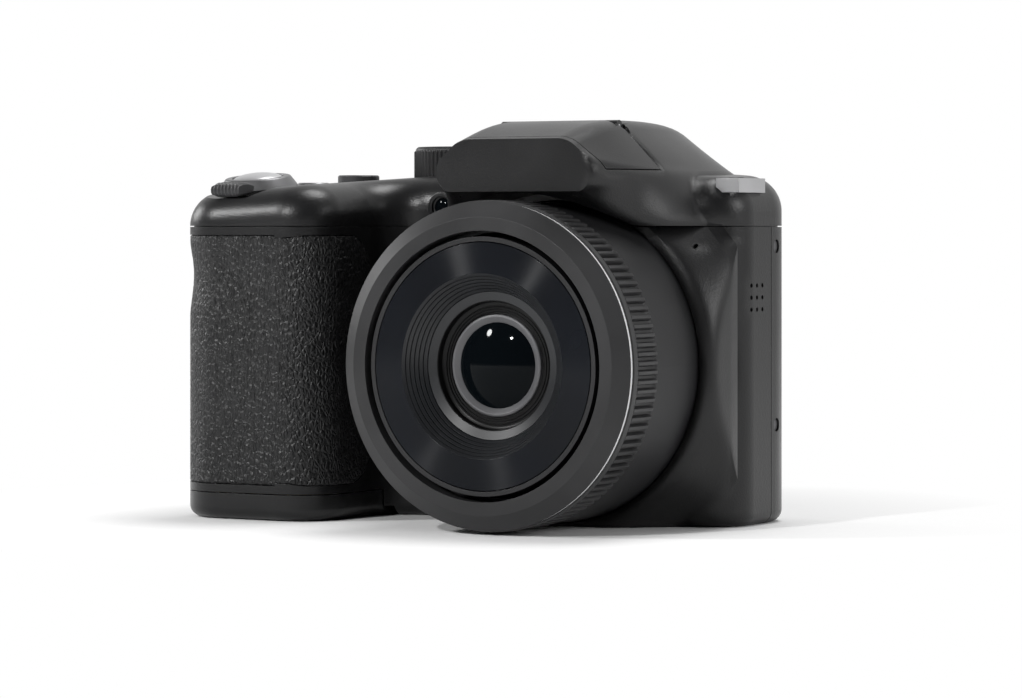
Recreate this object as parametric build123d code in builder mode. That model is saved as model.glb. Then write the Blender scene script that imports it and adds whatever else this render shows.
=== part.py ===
"""Bridge camera: a compact superzoom body with a deep hand grip, a pop-up flash and a retracting lens.

Frame, in millimetres: the origin is the mouth of the tripod socket on the base plane, +Z is up,
+Y runs to the back of the camera and +X to the user's left hand, so the lens looks along -Y.
"""

import math
import os

from build123d import *

os.makedirs("parts", exist_ok=True)

# Driving dimensions of the body
body_width = 113.0
body_depth = 31.5
seam_height = 58.5
crown_rise = 11.3
side_to_lens = 34.3
socket_to_front = 9.0
socket_to_lens = 31.7
grip_reach = 28.0
grip_width = 35.5
front_shell_depth = 16.8
wall = 2.0
panel_gap = 0.2
running_gap = 0.1
seat_gap = 0.05
free_gap = 0.3
cut_over = 5.0
tongue_inset = 0.8
tongue_width = 0.5
tongue_height = 0.9

# Corner radii of the body seen from above, and of its edges
rear_left_radius = 13.0
front_left_radius = 9.0
grip_root_radius = 8.0
grip_inner_radius = 10.0
grip_outer_radius = 11.0
rear_right_radius = 9.0
base_edge_radius = 2.4
top_edge_radius = 7.0
least_radius = 0.8

# Driving dimensions of the lens
lens_axis_height = 32.0
lens_reach = 38.0
sleeve_radius = 31.3
barrel_radius = 29.6
flare_base_radius = 39.0
flare_lip_radius = 33.4
flare_reach = 9.0
crest_radius = 2.5

# Driving dimensions of the hump over the lens
hump_overhang = 25.6
hump_rise = 9.4
hump_back = 28.5
hump_arch_radius = 33.0
hump_wall = 1.6

# Places that follow from the driving dimensions
crown_height = seam_height + crown_rise
hump_height = crown_height + hump_rise
lens_x = socket_to_lens
body_left = lens_x + side_to_lens
body_right = body_left - body_width
body_front = -socket_to_front
body_rear = body_front + body_depth
grip_front = body_front - grip_reach
grip_inner = body_right + grip_width
shell_split = body_front + front_shell_depth
lens_front = body_front - lens_reach
flare_front = body_front - flare_reach
hump_front = body_front - hump_overhang
inner_rear = body_rear - wall
inner_front = body_front + wall

# Heights of the crown of the top cover, as shares of its height, along shares of the body's width
crown_place_shares = [0.0, 0.15, 0.315, 0.416, 0.708, 1.0]
rear_crown_shares = [0.954, 0.985, 0.996, 1.0, 1.0, 0.980]
front_crown_shares = [0.925, 0.94, 0.958, 0.975, 0.985, 0.962]

# Cross-sections of the hump along its length: half width and height of its foot, side and top
hump_half_width = 23.0
hump_place_shares = [0.0, 0.16, 0.35, 0.60, 0.86, 1.0]
hump_foot_shares = [(0.66, 0.823), (0.83, 0.764), (1.17, 0.72), (1.35, 0.72), (1.3, 0.72), (1.17, 0.72)]
hump_side_shares = [(0.82, 0.878), (0.91, 0.871), (0.98, 0.871), (1.02, 0.871), (1.0, 0.871), (0.93, 0.86)]
hump_top_shares = [(0.52, 0.951), (0.53, 0.982), (0.54, 1.0), (0.54, 1.0), (0.5, 0.982), (0.42, 0.933)]
hump_foot_radius = 2.0
hump_side_radius = 4.0
hump_top_radius = 6.0


def save(builder, label):
    """Names a finished piece and writes its STEP file."""
    builder.part.label = label
    export_step(builder.part, f"parts/{label}.step")


def around(middle, width):
    """The two ends of a span of a given width about its middle."""
    return middle - width / 2, middle + width / 2


def block(x_span, y_span, z_span, mode=Mode.ADD):
    """A plain block between two places on each axis."""
    spans = (x_span, y_span, z_span)
    with Locations(tuple((start + end) / 2 for start, end in spans)):
        Box(*[abs(end - start) for start, end in spans], mode=mode)


def rod(start, end, radius, mode=Mode.ADD):
    """A round bar between two points."""
    span = Vector(*end) - Vector(*start)
    with BuildSketch(Plane(origin=start, z_dir=span)) as disc:
        Circle(radius)
    extrude(disc.sketch, amount=span.length, mode=mode)


def disc_along_y(x, z, y_span, radius, mode=Mode.ADD):
    """A round disc or bore along Y."""
    rod((x, y_span[0], z), (x, y_span[1], z), radius, mode=mode)


lens_section = Plane(origin=(lens_x, 0, lens_axis_height), x_dir=(1, 0, 0), z_dir=(0, 0, 1))
lens_axis = Axis((lens_x, 0, lens_axis_height), (0, 1, 0))


def turned(*corners, mode=Mode.ADD):
    """A ring, tube or disc turned about the lens axis from its (radius, y) corners."""
    with BuildSketch(lens_section) as profile:
        with BuildLine():
            Polyline(*corners, close=True)
        make_face()
    revolve(profile.sketch, axis=lens_axis, mode=mode)


def tube(inner, outer, y_span, mode=Mode.ADD):
    """A plain tube about the lens axis."""
    start, end = y_span
    turned((inner, start), (outer, start), (outer, end), (inner, end), mode=mode)


def plan_face(inset, height=0):
    """The body seen from above, drawn in by an inset, at a height."""
    corners = [
        (body_left, body_rear),
        (body_left, body_front),
        (grip_inner, body_front),
        (grip_inner, grip_front),
        (body_right, grip_front),
        (body_right, body_rear),
    ]
    radii = [
        rear_left_radius,
        front_left_radius,
        grip_root_radius,
        grip_inner_radius,
        grip_outer_radius,
        rear_right_radius,
    ]
    with BuildSketch(Plane.XY.offset(height)) as plan:
        with BuildLine():
            FilletPolyline(*corners, radius=radii, close=True)
        make_face()
        if inset:
            offset(amount=-inset)
    return plan.sketch


def crown_face(y, height_shares, inset):
    """The body's cross-section at y, up to the crown of the top cover."""
    stations = [
        (body_right + place * body_width, height * crown_height - inset)
        for place, height in zip(crown_place_shares, height_shares)
    ]
    with BuildSketch(Plane(origin=(0, y, 0), x_dir=(1, 0, 0), z_dir=(0, -1, 0))) as face:
        with BuildLine():
            rise = Spline(*stations)
            Polyline(
                rise @ 1,
                (body_left + cut_over, stations[-1][1]),
                (body_left + cut_over, -cut_over),
                (body_right - cut_over, -cut_over),
                (body_right - cut_over, stations[0][1]),
                rise @ 0,
            )
        make_face()
    return face.sketch


def crown_at(place):
    """The height of the crown at a place seen from above."""
    x, y = place
    along = (x - body_right) / body_width
    ahead = (body_rear + cut_over - y) / (body_rear - grip_front + 2 * cut_over)
    number = max(index for index, share in enumerate(crown_place_shares[:-1]) if share <= along)
    start, end = crown_place_shares[number:number + 2]
    part_way = (along - start) / (end - start)
    rear, front = (
        shares[number] + part_way * (shares[number + 1] - shares[number])
        for shares in (rear_crown_shares, front_crown_shares)
    )
    return crown_height * (rear + ahead * (front - rear))


def body_form(inset):
    """The body without its hump: the plan drawn up to the crown, with every edge rounded."""
    with BuildPart() as crown:
        loft([
            crown_face(body_rear + cut_over, rear_crown_shares, inset),
            crown_face(grip_front - cut_over, front_crown_shares, inset),
        ], ruled=True)
    with BuildPart() as form:
        extrude(plan_face(inset), amount=crown_height)
        add(crown.part, mode=Mode.INTERSECT)
        if inset:
            block(everywhere_x, everywhere_y, (-cut_over, inset), mode=Mode.SUBTRACT)
        upright = form.edges().filter_by(GeomType.LINE).filter_by(Axis.Z)
        upper = [edge for edge in form.edges() if edge.center().Z > seam_height]
        fillet([edge for edge in upper if edge not in upright], max(top_edge_radius - inset, least_radius))
        fillet(form.edges().group_by(Axis.Z)[0], max(base_edge_radius - inset, least_radius))
    return form.part


def hump_face(number, inset):
    """One cross-section of the hump, drawn in by an inset at its sides and top."""
    y = hump_front + hump_place_shares[number] * (hump_overhang + hump_back)
    foot, side, top = (
        (shares[number][0] * hump_half_width - inset, shares[number][1] * hump_height)
        for shares in (hump_foot_shares, hump_side_shares, hump_top_shares)
    )
    corners = [foot, side, (top[0], top[1] - inset)]
    radii = [hump_foot_radius, hump_side_radius, hump_top_radius - inset]
    mirrored = [(-x, z) for x, z in corners]
    with BuildSketch(Plane(origin=(lens_x, y, 0), x_dir=(1, 0, 0), z_dir=(0, -1, 0))) as face:
        with BuildLine():
            FilletPolyline(*mirrored, *reversed(corners), radius=radii + radii[::-1], close=True)
        make_face()
    return face.sketch




def tongue(clearance, mode=Mode.ADD):
    """The tongue under the top cover's edge, or with a clearance the groove for it in the lower covers."""
    foot = seam_height - tongue_height - clearance
    with BuildPart(mode=Mode.PRIVATE) as ring:
        extrude(plan_face(tongue_inset - clearance, foot), amount=tongue_height + clearance + panel_gap)
        extrude(plan_face(tongue_inset + tongue_width + clearance, foot), amount=cut_over, mode=Mode.SUBTRACT)
    add(ring.part, mode=mode)


everywhere_x = (body_right - cut_over, body_left + cut_over)
everywhere_y = (lens_front - cut_over, body_rear + cut_over)

body_outer = body_form(0)
body_hollow = body_form(wall)

with BuildPart() as hump_outer:
    loft([hump_face(number, 0) for number in range(len(hump_place_shares))])

with BuildPart() as hump_space:
    loft([hump_face(number, hump_wall) for number in range(len(hump_place_shares))])
    block(everywhere_x, everywhere_y, (0, seam_height + hump_wall), mode=Mode.SUBTRACT)
    block(everywhere_x, (hump_front - cut_over, hump_front + hump_wall), (0, hump_height), mode=Mode.SUBTRACT)
    block(everywhere_x, (body_rear - 2 * wall, body_rear), (0, hump_height), mode=Mode.SUBTRACT)
    tube(0, hump_arch_radius + hump_wall, (hump_front - cut_over, inner_front), mode=Mode.SUBTRACT)

# Grip skin: a rubber panel wrapped round the hand grip and let into the front cover
skin_thickness = 1.1
skin_foot = 7.0
skin_head = seam_height - 1.7
skin_back = -2.5
skin_end = -17.0
skin_corner_radius = 8.0
skin_middle_x = body_right + grip_width / 2
skin_height = skin_head - skin_foot
skin_front = grip_front - cut_over

with BuildPart() as skin_reach:
    block((body_right - cut_over, skin_middle_x), (skin_front, skin_back), (skin_foot, skin_head))
    with BuildSketch(Plane.YZ.offset(skin_middle_x)):
        with Locations((skin_front + (skin_end - skin_front) / 2, skin_foot + skin_height / 2)):
            RectangleRounded(skin_end - skin_front, skin_height, skin_corner_radius)
    extrude(amount=grip_width)
    block((skin_middle_x, grip_inner - grip_inner_radius), (skin_front, grip_front + wall), (skin_foot, skin_head))

with BuildPart() as grip_skin:
    extrude(plan_face(0), amount=skin_head)
    extrude(plan_face(skin_thickness), amount=skin_head, mode=Mode.SUBTRACT)
    add(skin_reach.part, mode=Mode.INTERSECT)
save(grip_skin, "grip_skin")

# Battery door under the grip, and its hinge along the inner side of the grip
door_height = 5.4
door_floor = 1.8
hinge_radius = 1.0
hinge_pin_radius = 0.45
hinge_knuckle = 4.0
hinge_x = grip_inner + hinge_radius
hinge_z = hinge_radius
hinge_cut = hinge_radius + panel_gap
door_edge_x = hinge_x - free_gap
door_rear = shell_split - panel_gap
hinge_y = (inner_front + door_rear) / 2
hinge_length = 3 * hinge_knuckle
lock_length = 8.0
lock_width = 5.0
lock_travel = 3.0
lock_thickness = 0.9
lock_rib_depth = 0.15
lock_to_side = 7.0
lock_x = body_right + lock_to_side
lock_y = grip_front + grip_reach / 2
lock_rib_shares = [0.2, 0.4, 0.6, 0.8]

with BuildPart() as battery_door:
    add(body_outer)
    block((body_right - cut_over, door_edge_x), (grip_front - cut_over, door_rear),
          (-cut_over, door_height - panel_gap), mode=Mode.INTERSECT)
    extrude(plan_face(wall, door_floor), amount=door_height, mode=Mode.SUBTRACT)
    disc_along_y(hinge_x, hinge_z, around(hinge_y, hinge_knuckle), hinge_cut, mode=Mode.SUBTRACT)
    for side in (-1, 1):
        ends = around(hinge_y + side * hinge_knuckle, hinge_knuckle - 2 * panel_gap)
        disc_along_y(hinge_x, hinge_z, ends, hinge_radius)
        block((door_edge_x - hinge_radius, hinge_x), ends, (hinge_z - hinge_radius / 2, hinge_z + hinge_radius / 2))
    disc_along_y(hinge_x, hinge_z, around(hinge_y, hinge_length), hinge_pin_radius + seat_gap, mode=Mode.SUBTRACT)
    block((lock_x - lock_travel - panel_gap, lock_x + lock_length + panel_gap),
          around(lock_y, lock_width + 2 * panel_gap), (-cut_over, lock_thickness + lock_rib_depth + panel_gap),
          mode=Mode.SUBTRACT)
save(battery_door, "battery_door")

with BuildPart() as door_lock:
    block((lock_x, lock_x + lock_length), around(lock_y, lock_width),
          (lock_rib_depth + seat_gap, lock_thickness + lock_rib_depth))
    for share in lock_rib_shares:
        block(around(lock_x + lock_length * share, lock_rib_depth * 2), around(lock_y, lock_width / 2),
              (seat_gap, lock_thickness))
save(door_lock, "door_lock")

with BuildPart() as door_pin:
    disc_along_y(hinge_x, hinge_z, around(hinge_y, hinge_length), hinge_pin_radius)
save(door_pin, "door_pin")

# Tripod bush, let into the base under the middle of the camera
bush_width = 11.0
bush_height = 8.0
socket_radius = 3.175
socket_depth = 6.0

with BuildPart() as tripod_bush:
    block(around(0, bush_width), around(0, bush_width), (0, bush_height))
    rod((0, 0, 0), (0, 0, socket_depth), socket_radius, mode=Mode.SUBTRACT)
save(tripod_bush, "tripod_bush")

# Places of the side screws, port cover, speaker and microphone in the case
screw_head_radius = 1.25
screw_head_height = 0.7
screw_shank_radius = 0.7
screw_length = 4.0
screw_recess = 0.5
screw_y = shell_split + 2 * screw_head_radius
screw_height_shares = [0.33, 0.933]
port_y = (-0.6, 6.4)
port_z = (30.0, 46.0)
port_thickness = 1.2
port_roll = port_thickness / 2
port_hinge_x = body_right + port_roll
port_hinge_y = port_y[1] - port_roll
plug_width = 3.2
plug_height = 8.4
plug_y = (port_y[0] + port_hinge_y) / 2
plug_z = (port_z[0] + port_z[1]) / 2
plug_depth = 3.3
speaker_y = 1.5
speaker_z = seam_height - 13.9
speaker_radius = 4.0
speaker_thickness = 1.4
speaker_seat = 0.6
sound_hole_radius = 0.45
sound_hole_pitch = 2.35
mic_inset = 6.0
mic_z = seam_height - 3.9
mic_radius = 2.0
mic_thickness = 1.6
mic_depth = 4.2
mic_hole_radius = 0.5
mic_x = body_left - mic_inset


def side_screws(inset, gap, mode=Mode.ADD):
    """The four countersunk side screws, or their holes when a gap is given."""
    for side, outward in ((body_left, 1), (body_right, -1)):
        for share in screw_height_shares:
            z = share * seam_height
            face = side - outward * inset
            seat = side - outward * (screw_recess + screw_head_height)
            tip = seat - outward * screw_length
            rod((face, screw_y, z), (seat, screw_y, z), screw_head_radius + gap, mode=mode)
            rod((seat, screw_y, z), (tip, screw_y, z), screw_shank_radius + gap, mode=mode)


with BuildPart() as case_screws:
    side_screws(screw_recess, 0)
save(case_screws, "case_screws")

# Front cover with the flare round the lens
lens_hole_radius = sleeve_radius + free_gap


def flare(mode=Mode.ADD):
    """The sloping collar that rises from the front of the body round the lens barrel."""
    turned(
        (0, inner_front),
        (flare_base_radius + wall, inner_front),
        (flare_base_radius, body_front),
        (flare_lip_radius + wall / 4, flare_front + wall / 4),
        (flare_lip_radius, flare_front),
        (0, flare_front),
        mode=mode,
    )


with BuildPart() as front_cover:
    add(body_outer)
    add(body_hollow, mode=Mode.SUBTRACT)
    flare()
    block((body_right - cut_over, body_left), (grip_front - cut_over, shell_split - panel_gap / 2),
          (0, seam_height - panel_gap / 2), mode=Mode.INTERSECT)
    crest = edges().filter_by_position(Axis.X, *around(body_left, panel_gap))
    fillet(crest.filter_by_position(Axis.Y, flare_front, body_front - panel_gap), crest_radius)
    tongue(panel_gap / 2, mode=Mode.SUBTRACT)
    tube(0, lens_hole_radius, (flare_front - cut_over, inner_front + 2 * wall), mode=Mode.SUBTRACT)
    add(grip_skin.part, mode=Mode.SUBTRACT)
    block((body_right - cut_over, door_edge_x + panel_gap), (grip_front - cut_over, body_rear),
          (-cut_over, door_height), mode=Mode.SUBTRACT)
    block((door_edge_x, hinge_x + hinge_cut), (grip_front, body_rear), (-cut_over, door_floor + panel_gap),
          mode=Mode.SUBTRACT)
    ends = around(hinge_y, hinge_knuckle - 2 * panel_gap)
    disc_along_y(hinge_x, hinge_z, ends, hinge_radius)
    block((hinge_x, hinge_x + 2 * hinge_radius), ends, (hinge_z - hinge_radius / 2, door_floor + wall))
    disc_along_y(hinge_x, hinge_z, ends, hinge_pin_radius, mode=Mode.SUBTRACT)
    block(around(0, bush_width), around(0, bush_width), (-cut_over, bush_height), mode=Mode.SUBTRACT)
    with BuildSketch(Plane.YZ.offset(body_left + cut_over)):
        with Locations((speaker_y, speaker_z)):
            with GridLocations(sound_hole_pitch, sound_hole_pitch, 3, 3):
                Circle(sound_hole_radius)
    extrude(amount=-cut_over - 2 * wall, mode=Mode.SUBTRACT)
    disc_along_y(mic_x, mic_z, (body_front - cut_over, body_front + mic_depth), mic_hole_radius, mode=Mode.SUBTRACT)
    block((body_right - cut_over, body_right + port_thickness + seat_gap),
          (port_y[0] - panel_gap, port_y[1] + panel_gap), (port_z[0] - panel_gap, port_z[1] + panel_gap),
          mode=Mode.SUBTRACT)
    block((body_right, body_right + 2 * wall), around(plug_y, plug_width), around(plug_z, plug_height),
          mode=Mode.SUBTRACT)
save(front_cover, "front_cover")

# Screen and controls on the back
screen_width = 64.0
screen_height = 48.5
screen_foot = 5.5
screen_glass = 1.5
screen_ledge = 1.5
module_thickness = 4.0
screen_left = body_left - rear_left_radius
screen_right = screen_left - screen_width
screen_x = (screen_right, screen_left)
screen_z = (screen_foot, screen_foot + screen_height)
panel_width = screen_right - body_right
pad_radius = 9.0
set_radius = 3.2
key_radius = 2.4
key_flange = 0.6
key_flange_thickness = 1.0
key_travel = 0.5
key_proud = 0.7
pad_place_share = (0.51, 0.40)
key_place_shares = {
    "playback_button": (0.70, 0.64),
    "menu_button": (0.32, 0.16),
    "delete_button": (0.70, 0.16),
    "video_button": (0.80, 0.86),
}
thumb_x_shares = (0.20, 0.62)
thumb_z_shares = (0.70, 0.95)
thumb_thickness = 1.0


def on_panel(place_share):
    """A place on the control panel beside the screen."""
    return body_right + place_share[0] * panel_width, place_share[1] * seam_height


def shrunk(span, margin):
    """A span drawn in by a margin at both ends."""
    return span[0] + margin, span[1] - margin


def key(place_share, radius, inner=0, flange=key_flange, proud=key_proud):
    """A push button on the back: its cap and the flange that holds it in the case."""
    x, z = on_panel(place_share)
    flange_rear = inner_rear - panel_gap
    disc_along_y(x, z, (inner_rear - panel_gap - key_flange_thickness, flange_rear), radius + flange)
    disc_along_y(x, z, (flange_rear, body_rear + proud), radius)
    if inner:
        disc_along_y(x, z, (body_front, body_rear + cut_over), inner, mode=Mode.SUBTRACT)


pad_x, pad_z = on_panel(pad_place_share)

with BuildPart() as rear_cover:
    add(body_outer)
    add(body_hollow, mode=Mode.SUBTRACT)
    block(everywhere_x, (shell_split + panel_gap / 2, body_rear + cut_over),
          (0, seam_height - panel_gap / 2), mode=Mode.INTERSECT)
    tongue(panel_gap / 2, mode=Mode.SUBTRACT)
    block(screen_x, (body_rear - screen_glass, body_rear + cut_over), screen_z, mode=Mode.SUBTRACT)
    block(shrunk(screen_x, screen_ledge), (inner_rear - wall, body_rear), shrunk(screen_z, screen_ledge),
          mode=Mode.SUBTRACT)
    disc_along_y(pad_x, pad_z, (inner_rear - wall, body_rear + cut_over), pad_radius + running_gap,
                 mode=Mode.SUBTRACT)
    for place_share in key_place_shares.values():
        x, z = on_panel(place_share)
        disc_along_y(x, z, (inner_rear - wall, body_rear + cut_over), key_radius + running_gap, mode=Mode.SUBTRACT)
    side_screws(-cut_over, running_gap, mode=Mode.SUBTRACT)
    thumb_x = [body_right + share * panel_width for share in thumb_x_shares]
    thumb_z = [share * seam_height for share in thumb_z_shares]
    block(thumb_x, (body_rear - thumb_thickness / 2, body_rear + cut_over), thumb_z, mode=Mode.SUBTRACT)
save(rear_cover, "rear_cover")

with BuildPart() as lcd_window:
    block(screen_x, (body_rear - screen_glass, body_rear - seat_gap), screen_z)
save(lcd_window, "lcd_window")

with BuildPart() as lcd_module:
    module_rear = inner_rear - free_gap
    block(shrunk(screen_x, screen_ledge), (module_rear - module_thickness, module_rear), shrunk(screen_z, screen_ledge))
save(lcd_module, "lcd_module")

with BuildPart() as thumb_rest:
    block(thumb_x, around(body_rear, thumb_thickness), thumb_z)
    fillet(thumb_rest.edges().filter_by(Axis.Y), thumb_thickness * 3)
save(thumb_rest, "thumb_rest")

for name, place_share in key_place_shares.items():
    with BuildPart() as rear_key:
        key(place_share, key_radius)
    save(rear_key, name)

with BuildPart() as control_pad:
    key(pad_place_share, pad_radius, inner=set_radius + running_gap)
save(control_pad, "control_pad")

with BuildPart() as set_button:
    key(pad_place_share, set_radius, flange=0)
save(set_button, "set_button")

# Flash lid: the front of the hump's roof, hinged at its back edge
lid_hinge_radius = 1.3
lid_pin_radius = 0.5
lid_length = 17.6
lid_half_width = 24.0
roof_half_width = 15.5
lid_seam_z = crown_height - 0.3
lid_knuckle_half = 9.0
lid_knuckle_length = 4.0
lid_hinge_y = hump_front + lid_length + lid_hinge_radius
lid_hinge_z = hump_height - lid_hinge_radius
lid_cut = lid_hinge_radius + free_gap
lamp_half_width = 11.0
lamp_depth = 11.0
lamp_wall = 1.0
lamp_height = 3.4
lamp_foot = lid_seam_z + lamp_wall
lamp_z = (lamp_foot, lamp_foot + lamp_height)
lamp_x = (lens_x - lamp_half_width, lens_x + lamp_half_width)
lamp_rear = lid_hinge_y - lid_length + lamp_depth
lamp_front = lid_hinge_y - lid_length + 2 * lamp_wall
lamp_window = 1.0
tube_radius = 1.2
lid_x = (lens_x - lid_half_width, lens_x + lid_half_width)


def lid_rod(half, radius, mode=Mode.ADD):
    """A rod along the lid's hinge, centred on the lens."""
    ends = around(lens_x, 2 * half)
    rod((ends[0], lid_hinge_y, lid_hinge_z), (ends[1], lid_hinge_y, lid_hinge_z), radius, mode=mode)


def lid_knuckles(radius, gap, mode=Mode.ADD):
    """The cover's two knuckles of the lid's hinge, one each side, or the room for them."""
    for side in (-1, 1):
        near = lens_x + side * (lid_knuckle_half + panel_gap - gap)
        far = lens_x + side * (lid_knuckle_half + lid_knuckle_length + gap)
        rod((near, lid_hinge_y, lid_hinge_z), (far, lid_hinge_y, lid_hinge_z), radius, mode=mode)


with BuildPart() as flash_lid:
    add(hump_outer.part)
    add(hump_space.part, mode=Mode.SUBTRACT)
    block((lamp_x[0] - lamp_wall, lamp_x[1] + lamp_wall), (hump_front, lamp_rear + lamp_wall),
          (lid_seam_z, lamp_z[1] + lamp_wall))
    add(hump_outer.part, mode=Mode.INTERSECT)
    lid_rod(lid_half_width, lid_length, mode=Mode.INTERSECT)
    block(shrunk(lid_x, panel_gap), (hump_front, lid_hinge_y - seat_gap), (lid_seam_z, hump_height),
          mode=Mode.INTERSECT)
    block(lamp_x, (hump_front, lamp_rear), lamp_z, mode=Mode.SUBTRACT)
    lid_knuckles(lid_cut, panel_gap, mode=Mode.SUBTRACT)
    lid_rod(lid_knuckle_half, lid_hinge_radius)
    lid_rod(lid_half_width, lid_pin_radius + seat_gap, mode=Mode.SUBTRACT)
save(flash_lid, "flash_lid")

with BuildPart() as flash_window:
    block(lamp_x, (lamp_front, lamp_front + lamp_window), lamp_z)
save(flash_window, "flash_window")

with BuildPart() as flash_reflector:
    block(lamp_x, (lamp_front + lamp_window, lamp_rear), lamp_z)
    lamp_middle = (lamp_z[0] + lamp_z[1]) / 2
    with BuildSketch(Plane.YZ.offset(lamp_x[0] + lamp_wall)):
        with BuildLine():
            Polyline(
                (lamp_front, lamp_z[0] + lamp_wall / 2),
                (lamp_rear - 2 * lamp_wall, lamp_middle - tube_radius),
                (lamp_rear - 2 * lamp_wall, lamp_middle + tube_radius),
                (lamp_front, lamp_z[1] - lamp_wall / 2),
                close=True,
            )
        make_face()
    extrude(amount=2 * (lamp_half_width - lamp_wall), mode=Mode.SUBTRACT)
save(flash_reflector, "flash_reflector")

with BuildPart() as flash_tube:
    tube_y = lamp_rear - 2 * lamp_wall - tube_radius
    tube_half = lamp_half_width - lamp_wall
    rod((lens_x - tube_half, tube_y, lamp_middle), (lens_x + tube_half, tube_y, lamp_middle), tube_radius - seat_gap)
save(flash_tube, "flash_tube")

with BuildPart() as flash_pin:
    lid_rod(lid_knuckle_half + lid_knuckle_length, lid_pin_radius)
save(flash_pin, "flash_pin")

# Flash capacitor, held under the roof of the hump behind the lid
capacitor_radius = 4.2
capacitor_length = 22.0
capacitor_y = body_front + capacitor_length / 2
capacitor_z = lens_axis_height + barrel_radius + capacitor_radius + 2 * wall
saddle_width = 1.5

with BuildPart() as flash_capacitor:
    rod((lens_x - capacitor_length / 2, capacitor_y, capacitor_z),
        (lens_x + capacitor_length / 2, capacitor_y, capacitor_z), capacitor_radius)
    fillet(flash_capacitor.edges(), capacitor_radius / 6)
save(flash_capacitor, "flash_capacitor")

# Controls on the top
dial_radius = 9.5
dial_height = 5.6
dial_foot = crown_height - 0.55
dial_x = body_right + 41.0
dial_y = 9.0
spindle_radius = 2.5
grip_tilt = 7.5
shutter_height = crown_height - 3.4
shutter_x = body_right + 12.4
shutter_y = -23.0
lever_radius = 8.0
lever_thickness = 2.1
lever_slope = 35.0
lever_collar = 6.2
lever_bore = 5.3
lever_tab_reach = 12.2
lever_tab_width = 6.7
lever_tab_drop = 0.6
lever_tab_root = 9.2
cap_radius = 5.2
cap_proud = 3.0
cap_depth = 1.8
stem_radius = 2.5
stem_length = 2.6
power_place = (body_right + 20.0, 3.0)
power_radius = 3.6
burst_place = (body_right + 16.0, -8.0)
burst_radius = 2.6
power_proud = 2.0
burst_proud = 0.4
top_key_flange = 0.7
shutter_plane = Plane(
    origin=(shutter_x, shutter_y, shutter_height),
    x_dir=(1, 0, 0),
    z_dir=(0, -math.sin(math.radians(grip_tilt)), math.cos(math.radians(grip_tilt))),
)


def tilted(radius, start, end, mode=Mode.ADD):
    """A disc on the tilted axis of the shutter button, between two heights along it."""
    with BuildSketch(shutter_plane.offset(start)) as disc:
        Circle(radius)
    extrude(disc.sketch, amount=end - start, mode=mode)


def lever_tab(reaches, start):
    """The finger tab of the zoom lever between two distances ahead of its axis, from a height up."""
    with BuildSketch(shutter_plane.offset(start)) as tab:
        with Locations((0, -(reaches[0] + reaches[1]) / 2)):
            Rectangle(lever_tab_width, reaches[1] - reaches[0])
    extrude(tab.sketch, amount=lever_thickness - start)


def top_key(place, radius, proud):
    """A small push button on the top: its cap and the flange under the cover."""
    x, y = place
    crown = crown_at(place)
    flange_top = crown - wall - running_gap - free_gap
    rod((x, y, flange_top - top_key_flange), (x, y, crown + proud), radius)
    rod((x, y, flange_top - top_key_flange), (x, y, flange_top), radius + top_key_flange)


with BuildPart() as mode_dial:
    rod((dial_x, dial_y, dial_foot), (dial_x, dial_y, dial_foot + dial_height), dial_radius)
    chamfer(mode_dial.edges().group_by(Axis.Z)[-1], seat_gap * 10)
    rod((dial_x, dial_y, dial_foot - 2 * wall), (dial_x, dial_y, dial_foot), spindle_radius)
save(mode_dial, "mode_dial")

with BuildPart() as zoom_lever:
    with BuildSketch(shutter_plane.offset(panel_gap)):
        Circle(lever_radius)
    extrude(amount=lever_thickness, taper=lever_slope)
    lever_tab((lever_tab_root, lever_tab_reach), -lever_tab_drop)
    lever_tab((lever_bore + wall / 2, lever_tab_reach), panel_gap)
    tilted(lever_collar, -2 * wall, panel_gap)
    tilted(lever_bore, -2 * wall - cut_over, cut_over, mode=Mode.SUBTRACT)
save(zoom_lever, "zoom_lever")

with BuildPart() as shutter_button:
    tilted(cap_radius, cap_proud - cap_depth, cap_proud)
    fillet(shutter_button.edges().group_by(Axis.Z)[-1], cap_depth / 3)
    tilted(cap_radius, -cap_depth, cap_proud - cap_depth)
    tilted(stem_radius, -cap_depth - stem_length, -cap_depth)
save(shutter_button, "shutter_button")

with BuildPart() as power_button:
    top_key(power_place, power_radius, power_proud)
save(power_button, "power_button")

with BuildPart() as burst_button:
    top_key(burst_place, burst_radius, burst_proud)
save(burst_button, "burst_button")

# Focus lamp on the front, and the strap lugs at the shoulders
lamp_bezel_radius = 3.0
focus_lamp_x = body_right + 47.4
focus_lamp_z = seam_height + 3.9
focus_lamp_proud = 0.5
lug_y = (-6.0, 5.5)
lug_bar = 1.2
lug_slot_depth = 2.6
lug_height = 2.8
lug_drop = 0.5

with BuildPart() as af_lamp:
    disc_along_y(focus_lamp_x, focus_lamp_z, (body_front - focus_lamp_proud, inner_front + wall / 2), lamp_bezel_radius)
    fillet(af_lamp.edges().group_by(Axis.Y)[0], focus_lamp_proud)
save(af_lamp, "af_lamp")


def lug_spans(side, outward, edge_share):
    """Spans of one strap lug at a shoulder: along X from its root to its bar, and its height."""
    bar_outer = side - outward * panel_gap
    root = bar_outer - outward * (2 * lug_bar + lug_slot_depth)
    top = edge_share * crown_height - lug_drop
    return bar_outer, root, (top - lug_height, top)


shoulders = [(body_left, 1, rear_crown_shares[-1]), (body_right, -1, rear_crown_shares[0])]

with BuildPart() as strap_lugs:
    for side, outward, edge_share in shoulders:
        bar_outer, root, heights = lug_spans(side, outward, edge_share)
        block(sorted((bar_outer, root)), lug_y, heights)
        slot_x = (bar_outer - outward * lug_bar, root + outward * lug_bar)
        block(sorted(slot_x), shrunk(lug_y, lug_bar), shrunk(heights, -cut_over), mode=Mode.SUBTRACT)
save(strap_lugs, "strap_lugs")

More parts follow.
